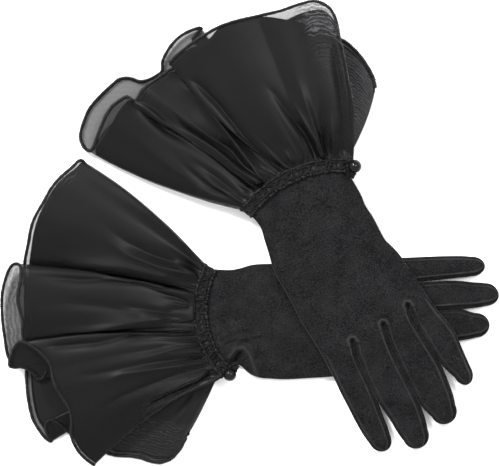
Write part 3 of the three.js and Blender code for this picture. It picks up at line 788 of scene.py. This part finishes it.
# The ruffles. Each is one strip, gathered at the wrist. Its hem goes from the placket over
# the top, down round the thumb side and back along the table. Per point of the hem: u, v,
# height, place round the wrist (0 to 2), sideways bow, and how far the lining stops short.
ruffleShape = {
    "columns": 700, "rows": 58, "wall": 0.00022, "liningGap": 0.8, "hemRadius": 1.4,
    "liningHemRadius": 0.55, "gather": 0.75, "pleat": 0.7, "fold": 0.75, "crisp": 1.35, "foldShare": 1.7,
}
rufflePlan = {
    "left": {
        "hem": [
            (-79, -76, 15, 0.00, -5, 6), (-90, -80, 19, 0.03, -5, 16), (-101, -80, 21, 0.06, -4, 24),
            (-109, -74, 21.5, 0.10, -3, 24), (-112, -65, 22, 0.14, -2, 15), (-115, -50, 22, 0.20, -1, 6),
            (-119, -37, 22, 0.26, 0, 1.2), (-123, -24, 22.5, 0.32, 2, 1), (-126, -10, 22.5, 0.38, 4, 1),
            (-126, 4, 22, 0.43, 5, 5), (-125, 17, 21.5, 0.47, 5, 2), (-121.5, 32, 19.5, 0.51, 6, 2),
            (-118, 26, 15.5, 0.53, 5, 5), (-117, 18, 13, 0.54, 4, 6), (-117, 24, 10.5, 0.56, 4, 6),
            (-118, 34, 9.5, 0.60, 5, 2), (-117, 45, 9.5, 0.66, 4, 2), (-115.5, 56, 11, 0.71, 2, 2),
            (-111.5, 65.4, 15.5, 0.77, 0, 2), (-115.4, 67.2, 15.5, 0.78, 0, 3),
            (-116.9, 68.6, 15, 0.785, 0, 4), (-117, 71.5, 14, 0.80, 0, 4), (-116, 80, 13, 0.83, 2, 6),
            (-112, 88, 12, 0.87, 4, 7), (-106, 96, 10, 0.92, 5, 7), (-97.5, 107.5, 7, 1.0, 6, 7),
            (-100, 110.3, 4, 1.02, 6, 10), (-109, 109.5, 2.6, 1.06, 6, 14), (-118, 101, 1.6, 1.12, 5, 17),
            (-123, 94, 1.4, 1.16, 5, 20), (-126.5, 84, 1.4, 1.2, 4, 20), (-129, 74, 1.4, 1.25, 3, 20),
            (-130, 66, 1.4, 1.3, 2, 20), (-127, 60, 1.6, 1.33, 2, 15), (-121.5, 55, 2, 1.36, 2, 10),
            (-119.5, 46, 2.2, 1.4, 2, 9), (-120.5, 38.5, 2.4, 1.44, 2, 9), (-125, 36, 3, 1.46, 2, 14),
            (-129, 31, 3.5, 1.48, 2, 16), (-132.5, 24, 4, 1.5, 2, 17), (-134.5, 17, 4, 1.52, 2, 17),
            (-134.4, 8, 3.6, 1.55, 1, 17), (-133, 2, 3.4, 1.565, 0, 14), (-132.4, 0.4, 3.3, 1.57, 0, 14),
            (-131.2, 3, 3, 1.575, 0, 14), (-127.6, 10.5, 2.4, 1.58, 0, 12), (-123, 3, 1.8, 1.6, 0, 9),
            (-121, -20, 1.4, 1.68, 0, 9), (-114, -38, 1.4, 1.75, 0, 10), (-107.5, -50, 1.4, 1.8, 0, 14),
            (-106.5, -60, 1.4, 1.83, -1, 18), (-104, -70, 1.4, 1.86, -2, 18),
            (-100, -76.5, 1.4, 1.88, -2, 14),
            (-91, -78.5, 1.4, 1.9, -2, 8), (-80.5, -75.5, 1.6, 1.92, -3, 4), (-76, -78.5, 1.5, 1.93, -3, 4),
            (-68, -81.5, 1.4, 1.94, -4, 4), (-59, -83.3, 1.4, 1.96, -5, 4), (-51, -83.6, 1.4, 1.97, -5, 4),
            (-45, -83.3, 1.5, 1.98, -5, 4), (-38, -81, 1.8, 2.0, -4, 4),
        ],
        "lift": 2.0,
        # stretches with painted glint streaks and denser cover: first and last run along the hem, where they
        # start across the strip, strength
        "glintAndCoverStretches": [(-20, 46, 0.72, 0.8), (492, 600, 0.0, 0.75)],
        # drawn folds: the line in plan, its height and width, and the stretch of the strip it is on
        "folds": [
            ([(-80, -16), (-68, -19), (-50, -21), (-34, -23.6), (-22, -23.4),
              (-13, -21)], 1.7, 2.4, (0, 0.5)),
            ([(-58, -49), (-36, -38), (-20, -32), (-10, -29)], 1.6, 2.2, (0, 0.5)),
            ([(-78, -39), (-45, -33), (-22, -29), (-12, -26.7)], -1.6, 2.4, (0, 0.5)),
            ([(-66, -27.3), (-45, -26.9), (-26, -27), (-13.6, -25)], -1.5, 2.0, (0, 0.5)),
            ([(-85, -73), (-50, -60), (-28, -50), (-8, -38)], 1.5, 3.0, (0, 0.5), 0.25),
            ([(-40, -46), (-22, -39), (-10, -33.5)], -1.3, 2.2, (0, 0.5)),
            ([(-35, -6), (-17, -7)], -1.3, 1.6, (0, 0.5)),
            ([(-110, 27), (-97, 21.5), (-82, 17.5), (-63, 14.5), (-45, 12.5), (-29, 7), (-19, 1)], 1.5, 2.6,
             (0, 0.512), 0.25),
            ([(-90, 39), (-79, 39), (-63, 32), (-51, 25), (-37, 23), (-19, 15.6)], 1.3, 2.4, (0.58, 1)),
            ([(-104, 48), (-78, 46), (-56, 36), (-34, 28), (-20, 20)], -3.0, 4.5, (0.58, 1)),
            ([(-114, 36), (-95, 27), (-70, 22.5), (-44, 19.5), (-18, 17.5)], -2.6, 4.0, (0.555, 1)),
            ([(-112, 66), (-105, 63.5), (-84, 56.7), (-64, 44.3), (-41, 35), (-21, 27.6),
              (-16, 26)], 2.2, 3.0,
             (0.58, 1), 0.25),
            ([(-74, 62), (-50, 55.7), (-33, 49), (-14.5, 37.6)], 0.9, 2.2, (0.58, 1)),
            ([(-58, 51), (-39, 43), (-17, 34.7)], 0.9, 2.0, (0.58, 1)),
            ([(-60, 56), (-37, 48), (-16, 37)], -0.9, 2.0, (0.58, 1)),
            ([(-95, 80), (-60, 66), (-30, 52)], -0.8, 7.0, (0.58, 1)),
        ],
    },
    "right": {
        "hem": [
            (-88, -95, 11, 0.0, 7, 1.6), (-93, -91, 13.5, 0.02, 7, 1.6), (-98, -85, 16, 0.04, 7, 1.6),
            (-101, -79, 17.5, 0.07, 6, 1.6), (-102.5, -73, 18.5, 0.09, 6, 1.6),
            (-101.5, -64, 19.5, 0.12, 5, 1.6),
            (-103, -55, 20, 0.16, 5, 1.6), (-108, -46, 20.5, 0.20, 5, 1.6), (-112.5, -36, 20.5, 0.25, 4, 1.6),
            (-114, -25, 20.5, 0.29, 4, 1.6), (-119, -18, 20, 0.32, 4, 1.6), (-126, -12, 19.5, 0.35, 4, 1.6),
            (-133, -9, 18, 0.38, 4, 1.6), (-138, -13, 14.5, 0.39, 4, 1.6), (-142, -25.5, 10.5, 0.39, 2, 1.6),
            (-134, -25.5, 8.5, 0.40, 0, 1.6), (-126.5, -30.5, 6, 0.41, -2, 1.6),
            (-122, -36, 5, 0.41, -2, 1.6),
            (-118, -31, 6, 0.41, -2, 1.6), (-116.5, -23, 8, 0.41, 0, 1.6), (-122, -14, 11, 0.42, 2, 1.6),
            (-130, -9, 14, 0.44, 3, 1.6), (-132, -3, 15.5, 0.47, 3, 6), (-131, 4, 16.5, 0.50, 3, 6),
            (-132.5, 11, 17, 0.54, 3, 6), (-134, 19, 17, 0.58, 3, 6), (-133, 26, 17, 0.62, 3, 6),
            (-131, 34, 16.5, 0.67, 3, 6), (-130.5, 40, 15.5, 0.72, 3, 6), (-132, 44, 12.5, 0.74, 3, 6),
            (-136.5, 43.7, 9.5, 0.73, 3, 14), (-140, 38.5, 8, 0.72, 2, 16), (-143, 31, 7, 0.70, 2, 18),
            (-145, 22, 6.5, 0.67, 2, 20), (-145.5, 8, 6, 0.62, 1, 20), (-144.5, -6, 6, 0.57, 0, 20),
            (-142.5, -20, 5.5, 0.52, -1, 16), (-139, -24, 4.5, 0.50, -1, 12), (-134, -17, 4, 0.51, 0, 9),
            (-131, 0, 4, 0.58, 0, 8), (-129, 20, 4.5, 0.66, 1, 8), (-129, 36, 6, 0.72, 2, 6),
            (-128.7, 42, 7.5, 0.74, 3, 4), (-127, 50, 10, 0.77, 3, 3.5), (-124.5, 59, 12, 0.80, 3, 3),
            (-123, 66, 13, 0.83, 3, 3), (-120, 74, 13.5, 0.86, 3, 3), (-113, 85, 13, 0.90, 3, 3),
            (-107, 94.5, 12, 0.93, 4, 3), (-99, 102.5, 10.5, 0.96, 4, 3), (-92.5, 107.4, 9, 0.985, 5, 3),
            (-87.6, 112, 7.8, 0.995, 6, 3), (-84, 110.6, 6, 1.0, 6, 3), (-84.5, 107.2, 4.4, 1.01, 6, 3.2),
            (-90, 105.5, 3, 1.03, 4, 3.5), (-103, 96, 1.6, 1.06, 3, 3.5),
            (-114, 80, 1.4, 1.12, 3, 3.5), (-121, 62, 1.4, 1.2, 2, 3.5), (-124, 40, 1.4, 1.28, 1, 3.5),
            (-127, 15, 1.4, 1.38, 0, 3.5), (-129, -8, 1.4, 1.47, 0, 3.5), (-131, -27, 1.4, 1.54, 0, 3.5),
            (-131.5, -41, 1.4, 1.59, 0, 3.5), (-130.3, -54, 1.4, 1.63, 0, 3.5),
            (-128.3, -63, 1.4, 1.66, 0, 3.5),
            (-124.5, -70, 1.4, 1.69, 0, 3.5), (-121, -75, 1.4, 1.71, 0, 3.5),
            (-116, -78.5, 1.6, 1.725, 0, 3.5),
            (-119, -73, 3.6, 1.73, 0, 3.5), (-120, -65, 5, 1.74, 0, 3.5), (-116.5, -63, 5, 1.745, 0, 3.5),
            (-110, -67, 4, 1.75, 0, 3.5), (-103, -73.5, 2.6, 1.77, 0, 3.5), (-97, -80, 1.6, 1.80, 0, 3.5),
            (-90, -84, 1.4, 1.83, 0, 3.5), (-82, -86.5, 1.4, 1.86, 0, 3.5), (-74, -89.5, 1.4, 1.885, 0, 3.5),
            (-66, -90.3, 1.4, 1.90, 0, 3.5), (-57, -92, 1.4, 1.92, 0, 3.5), (-50, -95, 1.4, 1.94, 0, 3.5),
            (-43, -96, 1.4, 1.955, 0, 3.5), (-36, -93.7, 1.4, 1.97, 0, 3.5), (-30, -87.7, 1.6, 1.985, 0, 3.5),
            (-25, -80, 1.9, 2.0, -2, 3.5),
        ],
        "lift": 2.0,
        # stretches with painted glint streaks and denser cover, listed as for the left ruffle
        "glintAndCoverStretches": [(242, 326, 0.0, 0.4), (450, 470, 0.86, 0.55), (735, 830, 0.6, 0.52)],
        "folds": [
            ([(-84, 76), (-58, 54.6), (-43, 45.7), (-27, 39.4), (-13, 33)], 1.3, 3.4, (0.6, 1)),
            ([(-77, 61), (-59, 46.5), (-38, 37.3), (-16, 30.8)], -1.6, 3.6, (0.6, 1)),
            ([(-27, 45), (-17, 38), (-10, 32.5)], 0.9, 1.5, (0.6, 1)),
            ([(-31, 43), (-22, 36.5), (-13, 30.6)], -0.9, 1.6, (0.6, 1)),
            ([(-120, 52), (-90, 42), (-60, 38), (-34, 30)], -2.0, 5.0, (0.74, 1)),
            ([(-126, 36), (-92, 31), (-70, 31), (-49, 29), (-36, 24),
              (-17, 16)], 1.4, 2.8, (0.44, 0.745), 0.25),
            ([(-46, 27), (-31, 19.4), (-17, 13)], 1.0, 1.6, (0.44, 0.745)),
            ([(-39, 20), (-25, 15), (-17, 11)], -1.2, 1.6, (0.44, 0.745)),
            ([(-71, 14), (-53, 9.7), (-31, 4.6), (-18, 3.8)], 0.9, 2.2, (0.44, 0.745)),
            ([(-35, 12), (-18, 8.6)], -1.0, 1.4, (0.44, 0.745)),
            ([(-124, 13.5), (-100, 15.6), (-77, 12), (-53, 5.7)], 0.6, 4.0, (0.44, 0.745)),
            ([(-125, -2), (-90, -5), (-60, 0), (-40, 1)], -1.8, 5.0, (0.44, 0.745)),
            ([(-120, -13), (-108, -13), (-81, -12), (-62, -8), (-40, -5.5), (-21, -7), (-9, -12.5)], 1.5, 3.0,
             (0, 0.385), 0.25),
            ([(-80, -70), (-56, -59), (-36, -52), (-15, -44), (-3, -36)], 1.8, 2.8, (0, 0.385)),
            ([(-70, -64), (-46, -52), (-30, -46), (-10, -38)], -1.3, 2.6, (0, 0.385)),
            ([(-109, -34.6), (-82, -33), (-47, -27.8), (-7, -25)], 0.9, 3.0, (0, 0.385)),
            ([(-85, -41), (-66, -34), (-41, -31.8), (-6, -29.5)], -1.1, 2.4, (0, 0.385)),
            ([(-97, -63.6), (-69, -50), (-35, -38.5), (-5, -32)], 0.9, 2.8, (0, 0.385)),
            ([(-60, -26), (-30, -19), (-9, -18)], -0.9, 2.4, (0, 0.385)),
            ([(-36, -74), (-25, -62), (-19, -53)], 0.8, 1.8, (1.8, 2.0)),
            ([(-40, -71), (-30, -60), (-21, -51)], -0.8, 1.8, (1.8, 2.0)),
        ],
    },
}


# The surface of a ruffle, one column of points per place along its hem.
def ruffleSurface(side):
    shape, plan = ruffleShape, rufflePlan[side]
    hem = smoothLine(plan["hem"], shape["columns"])
    round_ = np.clip(hem[:, 3], 0, 2)
    u0, v0, z0 = wristRound(side, round_, 4.2)
    z0 = np.where(round_ < 1, z0 - 0.5, z0 + 0.4)
    step = np.linalg.norm(np.diff(hem[:, :3], axis=0), axis=1)
    run = np.concatenate([[0], np.cumsum(step)])
    q = np.linspace(0, 1, shape["rows"])
    q = 0.35 * q + 0.65 * (0.5 - 0.5 * np.cos(math.pi * q))
    q = q[:, None]
    over = 1 - smooth((round_ - 0.94) / 0.1)
    u = u0 + (hem[:, 0] - u0) * q
    v = v0 + (hem[:, 1] - v0) * q + hem[:, 4] * 4 * q * (1 - q)
    rise = 1 - (1 - q) ** 1.9
    fall = np.where(round_[None] < 1, rise, 1 - (1 - q) ** 3)
    z = z0 + (hem[:, 2] - z0) * fall + plan["lift"] * over * 6.75 * q * (1 - q) ** 2
    for _ in range(3):
        u[:, 1:-1] = (u[:, :-2] + 2 * u[:, 1:-1] + u[:, 2:]) / 4
        v[:, 1:-1] = (v[:, :-2] + 2 * v[:, 1:-1] + v[:, 2:]) / 4
        z[:, 1:-1] = (z[:, :-2] + 2 * z[:, 1:-1] + z[:, 2:]) / 4
    points = np.stack([u, v, z], -1)
    normal = surfaceNormal(points)
    quiet = 0.35 + 0.65 * over
    near = np.minimum(1, q / 0.03)
    reach = 0.04 + 0.035 * (1 + ripple(run, 30, 40))[None]
    lift = shape["gather"] * ripple(run, 6.5, 41)[None] * near * np.exp(-q / reach)
    pleat = 1 - 2 * np.abs(ripple(run, 24, 42))
    lift = lift + shape["pleat"] * pleat[None] * near * np.exp(-((q / (3 * reach)) ** 1.5))
    fold = 1 - 2 * np.abs(ripple(run + 4 * np.sin(run / 31), 60, 43))
    lift = lift + shape["fold"] * fold[None] * smooth(q / 0.25) * (1 - 0.45 * q)
    lift = lift + 0.35 * ripple(run, 34, 44)[None] * q
    lift = lift + 0.25 * ripple2(run[None] * 0.5 + 0 * q, 110 * q + 0 * run[None], 30, 45)
    for line, high, wide, (first, last), *taper in plan["folds"]:
        on = smooth((round_ - first + 0.004) / 0.008) * smooth((last - round_ + 0.004) / 0.008)
        ridge = nearLine(u, v, line, wide, *(taper or [0.6]), crisp=shape["crisp"])
        lift = lift + shape["foldShare"] * high * ridge * on[None] * np.minimum(1, q / 0.05)
    points = points + normal * (lift * quiet)[..., None]
    lowest = 0.75 + 0 * q
    points[..., 2] = np.maximum(points[..., 2], lowest)
    return points, hem, run, q[:, 0]


def surfaceNormal(points):
    down, along = np.gradient(points, axis=0), np.gradient(points, axis=1)
    normal = np.cross(down, along)
    normal /= np.maximum(np.linalg.norm(normal, axis=-1, keepdims=True), 1e-9)
    return normal


def makeRuffle(side):
    shape, mirror = ruffleShape, gloves[side]["mirror"]
    points, hem, run, q = ruffleSurface(side)
    normal = surfaceNormal(points)
    if normal[10, 60, 2] < 0:
        normal = -normal
    length = np.linalg.norm(points[-1] - points[0], axis=-1)
    depth = float(np.percentile(length, 90))
    uv = np.stack(np.broadcast_arrays(run[None] / 1000, q[:, None] * depth / 1000), -1)
    # painted glint and denser thread cover, a share per point of the strip
    paintedHighlightAndCover = np.zeros(points.shape[:2])
    for first, last, reach, strength in rufflePlan[side]["glintAndCoverStretches"]:
        on = smooth((run - first) / 12 + 0.5) * smooth((last - run) / 12 + 0.5)
        paintedHighlightAndCover = np.maximum(paintedHighlightAndCover, strength * on[None] * smooth((q[:, None] - reach) / 0.08))
    sheer = gridMesh(side + "_organza_ruffle", toWorld(side, points), uv, flip=mirror > 0, paintedHighlightAndCover=paintedHighlightAndCover)
    thicken(sheer, shape["wall"])
    dress(sheer, organza, "sheer_organza", side + "_ruffle_sheer")
    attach(sheer, side + "_glove")
    short = np.maximum(hem[:, 5], 0.9)
    end = 1 - short / np.maximum(length, 30)
    deeper = np.linspace(0.0, 1, shape["rows"])[:, None] * end[None]
    grid = np.arange(shape["columns"])
    inner = np.empty_like(points)
    away = np.empty_like(points)
    for column in grid:
        for axis in range(3):
            inner[:, column, axis] = np.interp(deeper[:, column], q, points[:, column, axis])
            away[:, column, axis] = np.interp(deeper[:, column], q, normal[:, column, axis])
    calm, calmAway = inner.copy(), away.copy()
    for _ in range(24):
        calm[:, 1:-1] = (calm[:, :-2] + 2 * calm[:, 1:-1] + calm[:, 2:]) / 4
        calmAway[:, 1:-1] = (calmAway[:, :-2] + 2 * calmAway[:, 1:-1] + calmAway[:, 2:]) / 4
    share = np.exp(-((deeper / 0.22) ** 2))[..., None]
    inner = inner + (calm - inner) * share
    away = away + (calmAway - away) * share
    inner = inner - away * shape["liningGap"] * (1 + 1.1 * share)
    inner[..., 2] = np.maximum(inner[..., 2], 0.45)
    uv = np.stack(np.broadcast_arrays(run[None] / 1000, deeper * depth / 1000), -1)
    lined = gridMesh(side + "_satin_ruffle", toWorld(side, inner), uv, flip=mirror > 0, paintedHighlightAndCover=paintedHighlightAndCover)
    thicken(lined, shape["wall"])
    dress(lined, lining, "satin_lining", side + "_ruffle_lining")
    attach(lined, side + "_glove")
    for name, line, radius, node, seed in (
            ("organza_hem", points[-1], shape["hemRadius"], "sheer_hem", 51),
            ("lining_hem_roll", inner[-1], shape["liningHemRadius"], "lining_hem", 52)):
        fine = smoothLine(line[::3], 1400)
        stitch = np.linspace(0, run[-1], 1400)
        roll = radius * (0.86 + 0.2 * np.sin(stitch / 1.5 * 2 * math.pi) + 0.12 * ripple(stitch, 3.1, seed))
        fine[:, 2] = np.maximum(fine[:, 2], radius + 0.1)
        cord = tubeMesh(side + "_" + name, toWorld(side, fine), roll / 1000, 6)
        dress(cord, thread, "thread", side + "_" + node)
        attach(cord, side + "_glove")


for side in gloves:
    makeBand(side)
    makeRuffle(side)
print("bands and ruffles made")


# The bead, its thread shank, the facing strip and the thread loop round it
beadShape = {
    "radius": 4.4, "facing": (9.5, 5.6, 0.7),
    "loopRadius": 3.3, "threadRadius": 0.4, "heading": 55, "tail": 9.5,
}


def placeFastener(side, piece):
    mirror = gloves[side]["mirror"]
    heading = math.radians(gloves[side]["heading"] + mirror * beadShape["heading"])
    low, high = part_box(side + "_bead_shank")
    piece.rotation_euler = (0, 0, heading)
    piece.location = ((low[0] + high[0]) / 2, (low[1] + high[1]) / 2, 0)
    pick(piece)
    bpy.ops.object.transform_apply(location=True, rotation=True, scale=True)


def makeFastener(side):
    shape, glove = beadShape, side + "_glove"
    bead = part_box(side + "_bead_button")
    radius = shape["radius"] / 1000
    bpy.ops.object.select_all(action="DESELECT")
    bpy.ops.mesh.primitive_uv_sphere_add(segments=64, ring_count=40, radius=radius,
                                         location=(0, 0, bead[1][2] - radius))
    ball = bpy.context.active_object
    bpy.ops.object.transform_apply(location=True, rotation=True, scale=True)
    ball.name = side + "_glass_bead"
    bpy.ops.object.mode_set(mode="EDIT")
    bpy.ops.mesh.select_all(action="SELECT")
    bpy.ops.mesh.bisect(plane_co=(0, 0, bead[0][2]), plane_no=(0, 0, 1), clear_inner=True, use_fill=True)
    bpy.ops.mesh.inset(thickness=radius * 0.16)
    bpy.ops.mesh.extrude_region_move(TRANSFORM_OT_translate={"value": (0, 0, radius * 0.25)})
    bpy.ops.mesh.select_all(action="SELECT")
    bpy.ops.mesh.normals_make_consistent(inside=False)
    bpy.ops.object.mode_set(mode="OBJECT")
    bpy.ops.object.shade_smooth_by_angle(angle=math.radians(40))
    placeFastener(side, ball)
    dress(ball, beadGloss, "bead", side + "_bead_button")
    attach(ball, side + "_bead")

    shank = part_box(side + "_bead_shank")
    turns = np.linspace(0, 9 * 2 * math.pi, 220)
    rise = np.linspace(shank[0][2] + 0.00025, shank[1][2] - 0.0002, 220)
    wrap = np.stack([0.0006 * np.cos(turns), 0.0006 * np.sin(turns), rise], -1)
    post = tubeMesh(side + "_thread_shank", wrap, 0.00022, 8)
    placeFastener(side, post)
    dress(post, thread, "thread", side + "_bead_shank")
    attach(post, side + "_bead")

    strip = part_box(side + "_placket_facing")
    long, wide, thick = (value / 1000 for value in shape["facing"])
    bpy.ops.object.select_all(action="DESELECT")
    bpy.ops.mesh.primitive_cube_add(size=1, location=(0.0035, 0, (strip[0][2] + strip[1][2]) / 2),
                                    scale=(long, wide, thick))
    facing = bpy.context.active_object
    facing.name = side + "_placket_strip"
    bpy.ops.object.transform_apply(location=True, rotation=True, scale=True)
    bpy.ops.object.mode_set(mode="EDIT")
    bpy.ops.mesh.select_all(action="SELECT")
    bpy.ops.mesh.subdivide(number_cuts=7)
    bpy.ops.object.mode_set(mode="OBJECT")
    for vertex in facing.data.vertices:
        x, y = vertex.co.x * 1000, vertex.co.y * 1000
        edge = abs(abs(y) - wide * 500)
        vertex.co.z += (0.00012 * math.sin(x * 2.6) * math.cos(y * 1.9) - 0.0001 * math.exp(-edge))
    soft = facing.modifiers.new("edges", "BEVEL")
    soft.width, soft.segments, soft.limit_method = 0.0002, 2, "ANGLE"
    applyAll(facing)
    pick(facing)
    bpy.ops.object.shade_smooth_by_angle(angle=math.radians(50))
    placeFastener(side, facing)
    dress(facing, knit, "stretch_knit", side + "_placket_facing")
    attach(facing, glove)

    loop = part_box(side + "_button_loop")
    height = (loop[0][2] + loop[1][2]) / 2
    ringRadius, tail = shape["loopRadius"] / 1000, shape["tail"] / 1000
    open_ = math.radians(16)
    around = np.linspace(open_, 2 * math.pi - open_, 150)
    ring = np.stack([ringRadius * np.cos(around), ringRadius * np.sin(around), 0 * around + height], -1)
    root = np.linspace(tail, ringRadius * math.cos(open_) + 0.0006, 14)
    first = np.stack([root, 0.0005 + 0 * root + (tail - root) * 0.45, 0 * root + height], -1)
    path = np.concatenate([first, ring, first[::-1] * [1, -1, 1]])
    path = smoothLine(path[::2], 420)
    run = np.linspace(0, 60, 420)
    twist = (shape["threadRadius"] * (0.9 + 0.12 * np.sin(run * 2 * math.pi))) / 1000
    cord = tubeMesh(side + "_thread_loop", path, twist, 8)
    placeFastener(side, cord)
    dress(cord, thread, "thread", side + "_button_loop")
    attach(cord, side + "_loop")


for side in gloves:
    makeFastener(side)
print("beads and loops made")


# Floor, light and camera
stageSet = {"floor": 6.0, "cameraHeight": 3.0, "fieldWidth": 0.340, "aim": (-0.00136, 0.00022),
            "worldLight": 1.3, "keyLight": 58.0}
bpy.ops.object.select_all(action="DESELECT")
bpy.ops.mesh.primitive_plane_add(size=stageSet["floor"], location=(0, 0, 0))
floor = bpy.context.active_object
floor.name = "floor"
paper, paperShader = newMaterial("paperMatte", Roughness=0.9, Specular_IOR_Level=0.1)
paperShader.inputs["Base Color"].default_value = (0.95, 0.95, 0.95, 1)
floor.data.materials.append(paper)

world = bpy.data.worlds.new("studio")
world.use_nodes = True
sky = next(n for n in world.node_tree.nodes if n.type == "BACKGROUND")
sky.inputs["Color"].default_value = (1, 1, 1, 1)
sky.inputs["Strength"].default_value = stageSet["worldLight"]
bpy.context.scene.world = world


def addLight(name, place, size, power):
    lamp = bpy.data.lights.new(name, "AREA")
    lamp.shape, lamp.size, lamp.energy = "SQUARE", size, power
    holder = bpy.data.objects.new(name, lamp)
    bpy.context.scene.collection.objects.link(holder)
    holder.location = place
    holder.rotation_euler = Vector(place).to_track_quat("Z", "Y").to_euler()
    return holder


addLight("key", (-0.85, 1.0, 1.35), 0.4, stageSet["keyLight"])
addLight("window", (0.6, 0.5, 1.7), 0.35, stageSet["keyLight"] * 0.25)

camera = bpy.data.cameras.new("camera")
camera.sensor_width = 36
camera.lens = camera.sensor_width * stageSet["cameraHeight"] / stageSet["fieldWidth"]
camera.clip_end = 20
viewer = bpy.data.objects.new("camera", camera)
bpy.context.scene.collection.objects.link(viewer)
viewer.location = (*stageSet["aim"], stageSet["cameraHeight"])
viewer.rotation_euler = (0, 0, 0)
bpy.context.scene.camera = viewer
bpy.context.scene.view_settings.view_transform = "Standard"
print("stage set")
